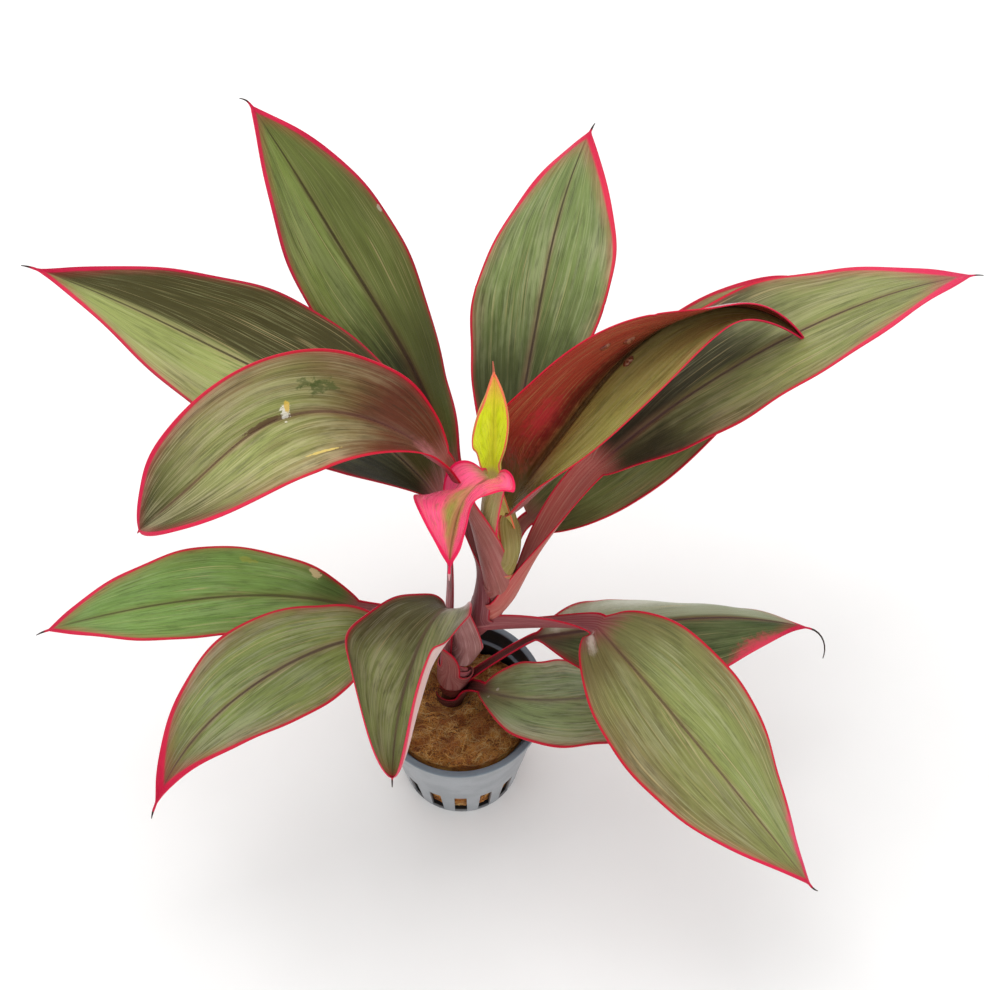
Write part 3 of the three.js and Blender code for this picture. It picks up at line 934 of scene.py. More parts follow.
@dataclass(frozen=True)
class Drop:
    """A drop of water on a leaf.

    place is (across, along) as on a Mark, and reach is how far the drop spreads across and along the
    leaf and stands above it, in millimetres.
    """

    place: tuple[float, float]
    reach: tuple[float, float, float] = (1.1, 1.5, 0.8)
    sunk: float = 0.1
    rings: int = 8
    sides: int = 24
    finish: WaterFinish = WaterFinish()

    def build(self, name: str, leaf: "Leaf", upper: Grid, read: Mapping[str, Grid]) -> bpy.types.Object:
        """Makes the drop.

        Args:
            name: The piece's name.
            leaf: The leaf that it lies on.
            upper: The leaf's upper points, in rows and columns.
            read: The leaf's across and along values at those points.

        Returns:
            The drop, a closed lens.
        """
        gap = np.hypot((read["across"] - self.place[0]) * 0.4, read["along"] - self.place[1])
        row, column = np.unravel_index(np.argmin(gap), gap.shape)
        ahead = unit(upper[row + 1, column] - upper[row - 1, column])
        up = unit(np.cross(ahead, upper[row, column + 1] - upper[row, column - 1]))
        turn = round_about(self.sides)[:, None]
        ragged = 1 + 0.1 * np.sin(2 * turn + 1) + 0.06 * np.sin(5 * turn)
        wide, long, tall = self.reach
        outline = ragged * (np.cos(turn) * long * ahead + np.sin(turn) * wide * np.cross(up, ahead))
        points = []
        for tilt in np.linspace(0, np.pi / 2, self.rings, endpoint=False):
            height = tall * np.sin(tilt) - self.sunk
            points += list(upper[row, column] + np.cos(tilt) * outline + up * height)
        lattice = Lattice(self.sides)
        faces = lattice.skin(self.rings) + [lattice.ring(0)[::-1]] + lattice.fan(self.rings - 1, len(points))
        points.append(upper[row, column] + up * (tall - self.sunk))
        return make_piece(name, points, faces, self.finish.material(f"{name}_water"), leaf.part, leaf.name)


@dataclass
class Leaf:
    """One leaf: a sheath that clasps the cane, a channelled petiole and a blade.

    Pitch, heading, roll, bend and fold run from the blade's base to its tip, in degrees except bend,
    which is the angle in radians that each half curls through. left_bend and left_fold are what the
    left half adds to them. node and bearing place the sheath on the cane, base is the blade's first
    point, and pull is how far the petiole is drawn out along the sheath and along the blade before it
    turns. turn_over rolls its middle, in degrees, and sway moves it aside. belly is the share of the
    length at which the blade is widest, and a larger taper draws its tip out.
    """

    name: str
    node: float
    bearing: float
    sheath: float
    base: tuple[float, float, float]
    pull: tuple[float, float]
    blade: float
    width: float
    belly: float
    taper: float
    pitch: tuple[float, ...]
    heading: tuple[float, ...]
    roll: tuple[float, ...]
    bend: tuple[float, ...]
    fold: tuple[float, ...]
    finish: BladeFinish
    part: Part = Part.LEAF_GREEN
    left_bend: tuple[float, ...] = (0.0, 0.0)
    left_fold: tuple[float, ...] = (0.0, 0.0)
    stalk_half: float = 2.8
    stalk_curl: float = 1.3
    turn_over: float = 0.0
    sway: tuple[float, float, float] = (0.0, 0.0, 0.0)
    sheath_radius: float = 3.2
    thread: float = 3.2
    thread_curl: float = 25.0
    thread_turn: float = 0.0
    drops: tuple[Drop, ...] = ()

    SHEATH_FLARE = 0.16
    SHEATH_WRAP = 2.7
    STALK_FOOT = 1.4
    SHOULDER = 0.35
    UNFURL = 0.22
    MARGIN_WAVE = 0.6
    WAVES = 2.5
    RIPPLE = 0.25
    RIPPLES = 31
    THREAD_HALF = 0.35
    THREAD_END = 0.1
    THICK = 0.3
    THICK_MARGIN = 0.16
    GROOVE_DEPTH = 0.22
    GROOVE_REACH = 0.8
    KEEL_DEPTH = 0.3
    KEEL_REACH = 1.1
    FLAT = 0.01
    SHEATH_ROWS = 14
    PETIOLE_ROWS = 34
    BLADE_ROWS = 120
    THREAD_ROWS = 8
    ACROSS = (
        0.0, 0.02, 0.05, 0.09, 0.14, 0.2, 0.27, 0.34, 0.42,
        0.5, 0.58, 0.66, 0.74, 0.81, 0.88, 0.94, 0.98, 1.0,
    )

    @staticmethod
    def _flight(pitch: Grid, heading: Grid, roll: Grid) -> tuple[Grid, Grid]:
        """Turns angles into directions.

        Args:
            pitch: Degrees above level.
            heading: Degrees anticlockwise from +X.
            roll: Degrees by which the left side is raised.

        Returns:
            The direction of travel and the leftward direction.
        """
        p, h, r = (np.radians(np.asarray(a, float)) for a in (pitch, heading, roll))
        ahead = np.stack([np.cos(p) * np.cos(h), np.cos(p) * np.sin(h), np.sin(p)], -1)
        above = np.stack([-np.sin(p) * np.cos(h), -np.sin(p) * np.sin(h), np.cos(p)], -1)
        level = np.stack([-np.sin(h), np.cos(h), 0 * h], -1)
        return ahead, level * np.cos(r)[..., None] + above * np.sin(r)[..., None]

    @staticmethod
    def _walk(start: Grid, ahead: Grid, length: float) -> Grid:
        """Adds up equal steps along directions, and leaves out the start itself."""
        return start + np.cumsum((ahead[:-1] + ahead[1:]) / 2 * (length / (len(ahead) - 1)), axis=0)

    def _sheath_rows(self, rows: Rows) -> None:
        """Adds the rows that clasp the cane.

        Args:
            rows: The leaf's cross-sections.
        """
        share = np.linspace(0, 1, self.SHEATH_ROWS + 1)
        middle, axis, out, side = CANE.directions(self.node + self.sheath * share, self.bearing)
        radius = self.sheath_radius + self.SHEATH_FLARE * self.sheath * share
        wrap = mix(self.SHEATH_WRAP, self.stalk_half * self.STALK_FOOT / radius[-1], smooth(share) ** 1.4)
        rows.put(
            point=middle + out * radius[:, None], ahead=unit(axis + out * self.SHEATH_FLARE), side=side,
            half=wrap * radius, bend=wrap, fold=0 * share, wave=0 * share, length=-self.sheath * (1 - share),
        )

    def _petiole_rows(self, rows: Rows) -> None:
        """Adds the channel that sweeps from the sheath into the blade, and sets the sheath's places.

        Args:
            rows: The leaf's cross-sections.
        """
        start, first, level = (rows[name][0][-1] for name in ("point", "ahead", "side"))
        blade_ahead, blade_side = self._flight(self.pitch[0], self.heading[0], self.roll[0])
        share = np.linspace(0, 1, self.PETIOLE_ROWS + 1)[:, None]
        leave, enter = first * self.pull[0], blade_ahead * self.pull[1]
        rise, swell = smooth(share), np.sin(np.pi * share)
        points = mix(start, np.array(self.base), rise)
        points = points + leave * share * (1 - share) ** 2 - enter * share * share * (1 - share)
        points = points + np.array(self.sway) * swell ** 2
        ahead = unit(np.gradient(points, axis=0))
        side = level_with(mix(level, blade_side, rise), ahead)
        tilt = np.radians(self.turn_over) * swell
        side = side * np.cos(tilt) + np.cross(ahead, side) * np.sin(tilt)
        walked = lengths_along(points)
        rows["length"][0] -= walked[-1]
        share = share[1:, 0]
        rows.put(
            point=points[1:], ahead=ahead[1:], side=side[1:],
            half=self.stalk_half * mix(self.STALK_FOOT, 1.0, np.sqrt(share)),
            bend=mix(rows["bend"][0][-1], self.stalk_curl, smooth(share)),
            fold=0 * share, wave=0 * share, length=(walked - walked[-1])[1:],
        )

    def _half_width(self, share: Grid) -> Grid:
        """Gives half the blade's width.

        Args:
            share: Places along the blade, 0 to 1.

        Returns:
            Half the width at each place.
        """
        rise = self.taper * self.belly / (1 - self.belly)
        outline = (share / self.belly) ** rise * ((1 - share) / (1 - self.belly)) ** self.taper
        shoulder = self.stalk_half * np.clip(1 - share / self.SHOULDER, 0, 1) ** 2
        return np.maximum(self.THREAD_HALF, self.width / 2 * outline + shoulder)

    def _blade_rows(self, rows: Rows) -> None:
        """Adds the blade.

        Args:
            rows: The leaf's cross-sections.
        """
        share = np.linspace(0, 1, self.BLADE_ROWS + 1)
        ahead, side = self._flight(*(through(v, share) for v in (self.pitch, self.heading, self.roll)))
        points = self._walk(rows["point"][1][-1], ahead, self.blade)
        share = share[1:]
        opened = smooth(share / self.UNFURL)
        rows.put(
            point=points, ahead=ahead[1:], side=side[1:], half=self._half_width(share),
            bend=mix(self.stalk_curl, through(self.bend, share), opened),
            fold=opened * np.radians(through(self.fold, share)),
            wave=self.MARGIN_WAVE * np.sin(2 * np.pi * self.WAVES * share) * np.sin(np.pi * share),
            length=share * self.blade,
        )

    def _thread_rows(self, rows: Rows) -> None:
        """Adds the curled dry thread on the blade's tip.

        Args:
            rows: The leaf's cross-sections.
        """
        share = np.linspace(0, 1, self.THREAD_ROWS + 1)
        curl, turned = self.pitch[-1] - self.thread_curl * share, self.heading[-1] + self.thread_turn * share
        ahead, side = self._flight(curl, turned, self.roll[-1] + 0 * share)
        points = self._walk(rows["point"][2][-1], ahead, self.thread)
        share = share[1:]
        rows.put(
            point=points, ahead=ahead[1:], side=side[1:], half=mix(self.THREAD_HALF, self.THREAD_END, share),
            bend=0 * share + rows["bend"][2][-1], fold=0 * share + rows["fold"][2][-1], wave=0 * share,
            length=self.blade + share * self.thread,
        )

    def _surface(self, rows: Rows) -> tuple[Grid, Grid, dict[str, Grid]]:
        """Works out the leaf's two faces.

        Args:
            rows: The leaf's cross-sections.

        Returns:
            The upper points, the lower points and the values that the material reads.
        """
        steps = np.array(self.ACROSS)
        across = np.concatenate([-steps[:0:-1], steps])[None, :]
        far, sign = np.abs(across), np.where(across < 0, -1.0, 1.0)
        half, bend, fold, wave, length = (
            rows.joined(name)[:, None] for name in ("half", "bend", "fold", "wave", "length")
        )
        along = length / self.blade
        left = (across > 0) * smooth(along / self.UNFURL)
        bend = bend + left * through(self.left_bend, along)
        bend = np.where(np.abs(bend) < self.FLAT, self.FLAT, bend)
        fold = fold + left * np.radians(through(self.left_fold, along))
        turned = fold + bend * far
        lateral = half * (np.sin(turned) - np.sin(fold)) / bend
        lift = half * (np.cos(fold) - np.cos(turned)) / bend + wave * far ** 3
        on_blade = smooth(along / 0.12) * smooth((1 - along) / 0.1)
        phase = 1.7 * self.finish.seed
        lift += self.RIPPLE * on_blade * far * np.sin(along * self.RIPPLES + far * 4 + sign * 2 + phase)
        ahead, side = rows.joined("ahead"), rows.joined("side")
        up, side = np.cross(ahead, side)[:, None], side[:, None]
        point = rows.joined("point")[:, None] + (sign * lateral)[..., None] * side + lift[..., None] * up
        tilt = turned * smooth(far / 0.08)
        normal = np.cos(tilt)[..., None] * up - (sign * np.sin(tilt))[..., None] * side
        width = far * half
        groove = self.GROOVE_DEPTH * np.exp(-(width / self.GROOVE_REACH) ** 2) * on_blade
        keel = self.KEEL_DEPTH * np.exp(-(width / self.KEEL_REACH) ** 2)
        keel = keel * (on_blade * (1 - along) + 0.3 * (along < 0))
        thick = mix(self.THICK, self.THICK_MARGIN, far ** 3) * np.minimum(1, half / 1.2 + 0.3)
        upper = point + normal * (thick - groove)[..., None]
        lower = point - normal * (thick + keel)[..., None]
        flat = np.broadcast_arrays(across, along, sign * width, length, half - width)
        return upper, lower, dict(zip(("across", "along", "width", "length", "to_margin"), flat))

    @staticmethod
    def _faces(count: int, wide: int) -> list[Face]:
        """Closes the upper and lower points into one thin sheet.

        Args:
            count: Rows of points on each side.
            wide: Points in a row.

        Returns:
            The faces.
        """
        top = np.arange(count * wide).reshape(count, wide)
        under = top + count * wide
        faces = []
        for i in range(count - 1):
            for j in range(wide - 1):
                faces.append((top[i, j], top[i + 1, j], top[i + 1, j + 1], top[i, j + 1]))
                faces.append((under[i, j], under[i, j + 1], under[i + 1, j + 1], under[i + 1, j]))
            faces.append((under[i, 0], under[i + 1, 0], top[i + 1, 0], top[i, 0]))
            faces.append((top[i, -1], top[i + 1, -1], under[i + 1, -1], under[i, -1]))
        for j in range(wide - 1):
            faces.append((top[0, j], top[0, j + 1], under[0, j + 1], under[0, j]))
            faces.append((under[-1, j], under[-1, j + 1], top[-1, j + 1], top[-1, j]))
        return faces

    def build(self) -> bpy.types.Object:
        """Makes the leaf as a closed thin sheet and dresses it.

        Returns:
            The leaf, which replaces the plain one of the same name.
        """
        rows = Rows()
        for add in (self._sheath_rows, self._petiole_rows, self._blade_rows, self._thread_rows):
            add(rows)
        upper, lower, read = self._surface(rows)
        points = np.concatenate([upper.reshape(-1, 3), lower.reshape(-1, 3)])
        twice = {key: np.tile(values.ravel(), 2) for key, values in read.items()}
        twice["upper"] = np.repeat([1.0, 0.0], len(points) // 2)
        layers = {
            name: np.stack([twice[key] for key in keys], -1)
            for name, keys in {
                "leaf_place": ("across", "along", "upper"), "leaf_size": ("width", "length", "to_margin"),
            }.items()
        }
        material = LeafSkin(self.finish, f"{self.name}_skin").material(-rows["length"][0][-1])
        faces = self._faces(*upper.shape[:2])
        piece = make_piece(f"{self.name}_blade", points, faces, material, self.part, self.name, layers)
        for number, drop in enumerate(self.drops, 1):
            drop.build(f"{self.name}_drop_{number}", self, upper, read)
        return piece


@dataclass
class NetPot:
    """The slotted pot, turned as one closed shell with its slots left open."""

    height: float = 46.0
    rim_radius: float = 24.6
    rim_width: float = 1.8
    lip: float = 0.7
    lip_height: float = 2.2
    foot_radius: float = 17.2
    hub_radius: float = 3.0
    wall: float = 1.3
    floor: float = 1.4
    collar: float = 6.5
    ledge: float = 1.0
    slots: int = 16
    slot_width: float = 3.6
    slot_top: float = 17.0
    floor_slot_width: float = 2.6
    floor_slot_reach: tuple[float, float] = (8.0, 14.6)
    finish: PotFinish = PotFinish()

    COLUMNS_A_SLOT = 8
    FLOOR_SLOT_COLUMN = 4
    FLOOR_SLOT_EVERY = 2
    CREASE = math.radians(38)

    @property
    def slot_levels(self) -> tuple[float, ...]:
        """The heights of the rows along a slot, from its foot to its top."""
        return self.floor, 4.0, 7.5, 10.5, self.slot_top

    @property
    def throat(self) -> float:
        """The radius inside the ledge that carries the fibre's top."""
        return self.wall_radius(self.height - self.collar) - self.wall - self.ledge

    def wall_radius(self, height: Grid | float) -> Grid | float:
        """Gives the outer wall's radius at a height."""
        return mix(self.foot_radius, self.rim_radius - self.lip, height / self.height)

    def _outer_wall(self, *heights: float) -> list[tuple[float, float]]:
        """Gives (radius, height) on the outer wall."""
        return [(self.wall_radius(z), z) for z in heights]

    def _inner_wall(self, *heights: float) -> list[tuple[float, float]]:
        """Gives (radius, height) on the inner wall."""
        return [(self.wall_radius(z) - self.wall, z) for z in heights]

    def _profile(self) -> list[tuple[float, float]]:
        """Gives the shell's outline.

        Returns:
            (radius, height) of each row, from the floor's underside round to its top.
        """
        near, reach = self.floor_slot_reach
        foot, rim, inner, throat = (
            self.foot_radius, self.rim_radius, self.rim_radius - self.rim_width, self.throat,
        )
        top, under_lip, ledge = self.height, self.height - self.lip_height, self.height - self.collar
        collar = [(r - 0.05, z) for r, z in self._inner_wall(ledge + 4.0, ledge + 2.0, ledge + 0.15)]
        return [
            (self.hub_radius, 0.0), (near, 0.0), (reach, 0.0), (foot - 0.4, 0.0), (foot - 0.05, 0.3),
            *self._outer_wall(*self.slot_levels),
            *self._outer_wall(18.5, 22.0, 27.0, 32.0, 38.0, under_lip - 0.8),
            (rim - 0.25, under_lip), (rim, under_lip + 0.35),
            (rim, top - 0.45), (rim - 0.15, top - 0.1), (rim - 0.5, top),
            (inner + 0.4, top), (inner + 0.1, top - 0.12), (inner, top - 0.5),
            *collar,
            (throat + 0.6, ledge), (throat + 0.12, ledge - 0.05), (throat, ledge - 0.2),
            (throat, ledge - 0.95), (throat + 0.2, ledge - 1.1),
            *self._inner_wall(ledge - 1.2, 32.0, 25.0, 19.0),
            *self._inner_wall(*reversed(self.slot_levels)),
            (reach, self.floor), (near, self.floor), (self.hub_radius, self.floor),
        ]

    def _angles(self, radius: float) -> Grid:
        """Places the columns so that slots keep parallel sides.

        Args:
            radius: The row's radius.

        Returns:
            The angle of each column.
        """
        period = 2 * math.pi / self.slots
        middle = period / 2
        slot, floor_slot = (
            math.asin(min(0.9, width / 2 / radius)) for width in (self.slot_width, self.floor_slot_width)
        )
        if radius < self.foot_radius - self.wall - 0.5:
            floor_slot = min(floor_slot, period * 0.42)
            slot = min(slot, (middle - floor_slot) * 0.7)
        else:
            floor_slot = min(floor_slot, (middle - slot) * 0.6)
        left, right = middle - floor_slot, middle + floor_slot
        offsets = np.array(
            [-slot, 0, slot, (slot + left) / 2, left, middle, right, (right + period - slot) / 2]
        )
        return (np.arange(self.slots)[:, None] * period - math.pi / 2 + offsets).ravel()

    @staticmethod
    def _opening(lattice: Lattice, outside: Sequence[int], inside: Sequence[int],
                 left: int) -> tuple[set[tuple[int, int]], list[Face]]:
        """Cuts one slot, two columns wide.

        Args:
            lattice: The shell's vertices.
            outside: Rows along the slot on the shell's outer face.
            inside: The matching rows on its inner face.
            left: The slot's first column.

        Returns:
            The cells to leave open, and the faces of the slot's four sides.
        """
        at, right = lattice.at, left + 2
        cells, sides = set(), []
        for low, high, low_in, high_in in zip(outside, outside[1:], inside, inside[1:]):
            pairs = ((low, high), (low_in, high_in))
            cells |= {(min(pair), column) for pair in pairs for column in range(left, right)}
            sides.append((at(low, left), at(low_in, left), at(high_in, left), at(high, left)))
            sides.append((at(low, right), at(high, right), at(high_in, right), at(low_in, right)))
        end, end_in = outside[-1], inside[-1]
        for c in range(left, right):
            sides.append(lattice.quad(outside[0], inside[0], c, c + 1))
            sides.append((at(end, c), at(end_in, c), at(end_in, c + 1), at(end, c + 1)))
        return cells, sides

    def build(self) -> bpy.types.Object:
        """Makes the pot.

        Returns:
            The pot, which replaces the plain one.
        """
        outline = self._profile()
        near, reach = self.floor_slot_reach
        outside, inside, below, above = (
            [outline.index(place) for place in places] for places in (
                self._outer_wall(*self.slot_levels), self._inner_wall(*self.slot_levels),
                [(near, 0.0), (reach, 0.0)], [(near, self.floor), (reach, self.floor)],
            )
        )
        lattice = Lattice(self.slots * self.COLUMNS_A_SLOT)
        left_open, sides = set(), []
        for number in range(self.slots):
            first = number * self.COLUMNS_A_SLOT
            cuts = [self._opening(lattice, outside, inside, first)]
            if number % self.FLOOR_SLOT_EVERY == 0:
                cuts.append(self._opening(lattice, below, above, first + self.FLOOR_SLOT_COLUMN))
            for cells, faces in cuts:
                left_open |= cells
                sides += faces
        rows = [on_circle(r, self._angles(r), np.full(lattice.columns, z)) for r, z in outline]
        points = np.concatenate([*rows, [(0.0, 0.0, 0.0), (0.0, 0.0, self.floor)]])
        foot = [face[::-1] for face in lattice.fan(0, len(points) - 2)]
        top = lattice.fan(len(rows) - 1, len(points) - 1)
        faces = lattice.skin(len(rows), left_open) + sides + foot + top
        material = self.finish.material("pot_plastic", self)
        piece = make_piece("net_pot_shell", points, faces, material, Part.POT, "net_pot")
        piece.data.set_sharp_from_angle(angle=self.CREASE)
        return piece


@dataclass
class Moss:
    """The plug of growing fibre and the loose strands on it."""

    pot: NetPot
    clearance: float = 0.35
    middle: float = 37.3
    fall_to_back: float = 0.24
    bump: float = 0.7
    hollow_depth: float = 6.2
    hollow_radius: float = 6.5
    side_levels: tuple[float, ...] = (28.0, 20.0, 13.0, 10.0, 7.0, 4.0)
    side_notch: float = 0.25
    rings: int = 44
    sides: int = 120
    strands: int = 5200
    side_strands: int = 1900
    strand_steps: int = 7
    strand_sides: int = 3
    finish: MossFinish = MossFinish()
    seed: int = 11

    def height_at(self, x: Grid, y: Grid) -> Grid:
        """Gives the plug's height, banked up at the front and trodden down round the cane.

        Args:
            x: Places from left to right.
            y: Places from front to back.

        Returns:
            The height at each place.
        """
        hollow = self.hollow_depth * np.exp(-(CANE.from_foot(x, y) / self.hollow_radius) ** 2)
        bumps = np.sin(0.55 * x + 1.3) * np.cos(0.62 * y - 0.4) + 0.6 * np.sin(0.9 * x - 0.7 * y)
        fine = 0.22 * np.sin(2.3 * x + 1.9 * y) * np.cos(2.7 * y - 1.1 * x)
        finest = 0.12 * np.sin(5.1 * x) * np.sin(4.7 * y + 1)
        return self.middle - self.fall_to_back * y + self.bump * bumps - hollow + fine + finest

    def _plug(self, material: bpy.types.Material) -> bpy.types.Object:
        """Makes the solid plug under the strands.

        Args:
            material: The fibre.

        Returns:
            The plug, which replaces the plain one.
        """
        reach, base = self.pot.throat - self.clearance, self.pot.floor + self.clearance
        turn = round_about(self.sides)
        rows = []
        for ring in range(1, self.rings + 1):
            x, y = on_circle(reach * ring / self.rings, turn).T
            rows.append(np.stack([x, y, self.height_at(x, y)], -1))
        for level in (*self.side_levels, base):
            radius = self.pot.wall_radius(level) - self.pot.wall - self.clearance
            notch = self.side_notch * (1 + np.sin(turn * 37 + level * 2.1)) * (level < 20)
            rows.append(on_circle(radius - notch, turn, level + 0 * turn))
        points = np.concatenate([[(0.0, 0.0, self.height_at(0.0, 0.0))], *rows, [(0.0, 0.0, base)]])
        lattice = Lattice(self.sides, first=1)
        shell = lattice.skin(len(rows)) + lattice.fan(len(rows) - 1, len(points) - 1)
        faces = lattice.fan(0, 0) + [face[::-1] for face in shell]
        layers = {"strand": np.full(points.shape, 0.4)}
        return make_piece("moss_bed", points, faces, material, Part.MOSS, "moss_plug", layers)

    def _top_strands(self, rng: np.random.Generator) -> tuple[Grid, Grid, Grid]:
        """Scatters strands over the plug.

        Args:
            rng: The source of chance.

        Returns:
            The strands' points, radii and tones.
        """
        count, last, throat = self.strands, self.strand_steps - 1, self.pot.throat
        radius = (throat - 0.6) * np.sqrt(rng.random(count))
        spot = on_circle(radius, rng.random(count) * 2 * np.pi)
        heading = rng.random(count) * 2 * np.pi
        bend = rng.normal(0, 0.55, count)
        length = rng.uniform(2.0, 8.5, count)
        arch = rng.uniform(0.1, 1.5, count) ** 2 * 0.6
        thick = rng.uniform(0.05, 0.13, count)
        tone = rng.random(count)
        path = []
        for step in range(self.strand_steps):
            share = step / last
            if step:
                way = heading + bend * step + 0.4 * np.sin(3 * share + tone * 9)
                spot = spot + on_circle(length / last, way)
            out = np.linalg.norm(spot, axis=1)
            spot = spot * np.minimum(1, (throat - 0.5) / np.maximum(out, 1e-6))[:, None]
            x, y = spot.T
            lift = arch * math.sin(math.pi * share) * smooth((CANE.from_foot(x, y) - 4) / 5)
            path.append(np.stack([x, y, self.height_at(x, y) + 0.08 + lift], -1))
        return np.stack(path, 1), thick, tone

    def _side_strands(self, rng: np.random.Generator) -> tuple[Grid, Grid, Grid]:
        """Scatters strands against the wall where the slots show them.

        Args:
            rng: The source of chance.

        Returns:
            The strands' points, radii and tones.
        """
        count = self.side_strands
        level = rng.uniform(2.4, 16.5, count)[:, None]
        turn = rng.random(count)[:, None] * 2 * np.pi
        slope = rng.normal(0, 0.5, count)[:, None]
        length = rng.uniform(1.5, 5.0, count)[:, None]
        share = np.linspace(-0.5, 0.5, self.strand_steps)[None, :]
        z = np.clip(level + length * share * np.sin(slope), 2.1, 19)
        radius = self.pot.wall_radius(z) - self.pot.wall - 0.32 + 0.12 * np.cos(share * 9 + level)
        path = on_circle(radius, turn + length * share * np.cos(slope) / radius, z)
        tone = rng.random(count)
        return path, rng.uniform(0.06, 0.13, count), tone

    def _tubes(self, name: str, path: Grid, thick: Grid, tone: Grid,
               material: bpy.types.Material) -> bpy.types.Object:
        """Makes thin tubes along paths.

        Args:
            name: The piece's name.
            path: Points of each strand, (strands, steps, 3).
            thick: Each strand's radius.
            tone: Each strand's place on the colour ramp.
            material: Its finish.

        Returns:
            All strands as one mesh.
        """
        count, steps = path.shape[:2]
        ahead = unit(np.gradient(path, axis=1) + 1e-9)
        aside = unit(np.cross(ahead, [0.13, 0.07, 0.99]))
        above = np.cross(aside, ahead)
        turn = round_about(self.strand_sides)[:, None]
        taper = np.array([0.35] + [1.0] * (steps - 2) + [0.2])
        ring = np.cos(turn) * aside[:, :, None] + np.sin(turn) * above[:, :, None]
        points = path[:, :, None] + ring * (thick[:, None] * taper)[:, :, None, None]
        lattice = Lattice(self.strand_sides)
        feet = range(0, count * steps, steps)
        seams = {(foot + steps - 1, side) for foot in feet for side in range(self.strand_sides)}
        faces = lattice.skin(count * steps, seams) + [lattice.ring(foot)[::-1] for foot in feet]
        faces += [lattice.ring(foot + steps - 1) for foot in feet]
        # How far each point rises off the bed; the material paints shade low down and light higher up from
        # it.
        rise = np.clip((path[:, :, 2] - path[:, :1, 2]) / 1.5 + 0.5, 0, 1)
        values = np.stack([np.broadcast_to(tone[:, None], rise.shape), rise, 0 * rise], -1)
        layers = {"strand": np.repeat(values.reshape(-1, 3), self.strand_sides, axis=0)}
        return make_piece(name, points.reshape(-1, 3), faces, material, Part.MOSS, layers=layers)

    def build(self) -> list[bpy.types.Object]:
        """Makes the plug and its strands.

        Returns:
            The plug, the strands over it and the strands behind the pot's slots.
        """
        material = self.finish.material("moss_fibre")
        rng = np.random.default_rng(self.seed)
        return [
            self._plug(material),
            self._tubes("moss_strands", *self._top_strands(rng), material),
            self._tubes("moss_strands_at_slots", *self._side_strands(rng), material),
        ]


LOW_RIGHT = BladeFinish(
    green="#8fa36c", deep="#68794c", pale="#c4caae", painted_sheen_amount=0.45, edge="#96785f", edge_strength=0.5,
    base_tint_and_shade="#766848", base_tint_and_shade_strength=0.5, base_tint_and_shade_reach=0.2, rib="#6e5f5c", rib_strength=0.45,
    # The dark petiole is its own red-brown, deepened as painted shade low under the leaves.
    petiole="#4c2320", petiole_line="#6a4038",
    marks=(
        Mark((0.2, 0.07), (0.06, 0.008), "#cfc9bd", 0.5),
        Mark((-0.3, 0.05), (0.1, 0.006), "#cfc9bd", 0.45),
    ),
    seed=13.0,
)
LEVEL_RIGHT = BladeFinish(
    green="#4c5b30", deep="#38451f", pale="#7f8759", edge="#8d4638", edge_start=0.62, edge_strength=0.75,
    # The left half's pale tone is painted light. The dark petiole and sheath are their own red-brown,
    # deepened as painted shade low under the leaves.
    left="#b4ba98", left_tint_light_and_shade_amount=0.7, petiole="#52161a", petiole_line="#7e3e34", sheath="#5c3024",
    tip="#96583e", tip_start=0.86,
    marks=(
        # The first and third marks are painted sheen on the lit left half; the second is the margin's own
        # crimson blush.
        Mark((0.75, 0.42), (0.45, 0.42), "#dcdecd", 0.7, 0.4, 1.0),
        Mark((-1.0, 0.8), (0.55, 0.14), "#dc3c56", 0.8, 0.6, 0.7),
        Mark((0.5, 0.1), (0.5, 0.06), "#e4ddd0", 0.6, 0.8, 0.8),
    ),
    seed=12.0,
)
DROOPING_LEFT = BladeFinish(
    green="#84924e", deep="#66723c", pale="#b8b99a", edge="#8e6250", base_tint_and_shade="#645e34", base_tint_and_shade_strength=0.55,
    tip="#5e3a2c", tip_start=0.62, tip_strength=0.85, petiole="#8a4644", margin_tip_width=1.9, seed=9.0,
)
LEVEL_LEFT = BladeFinish(
    green="#77984a", deep="#60823a", pale="#9cb478", painted_sheen_amount=0.35, edge="#7c6a3c", edge_strength=0.5,
    base_tint_and_shade="#46562a", base_tint_and_shade_strength=0.6, margin_tip_width=0.5, tip="#665e30", tip_start=0.85,
    rib="#4a3a2c", rib_strength=0.55,
    marks=(
        Mark((-0.8, 0.15), (0.14, 0.02), "#dcc796"), Mark((-0.75, 0.35), (0.07, 0.03), "#a9a23c", 0.35),
    ),
    seed=8.0,
)
# The near-black base and the dark right half are painted shade.
UPPER_LEFT = BladeFinish(
    green="#99a35c", deep="#7c8645", pale="#bcbe88", painted_sheen_amount=0.4, edge="#a4896a", edge_strength=0.45,
    right="#3a330e", right_shade_amount=0.95, base_tint_and_shade="#100c04", base_tint_and_shade_strength=0.97, base_tint_and_shade_reach=0.55,
    tip="#5c4026", tip_start=0.86, tip_strength=0.6, margin_tip_width=0.5, margin="#a8142c",
    rib="#241412", petiole="#a45a60", petiole_line="#cc9298", seed=1.0,
)
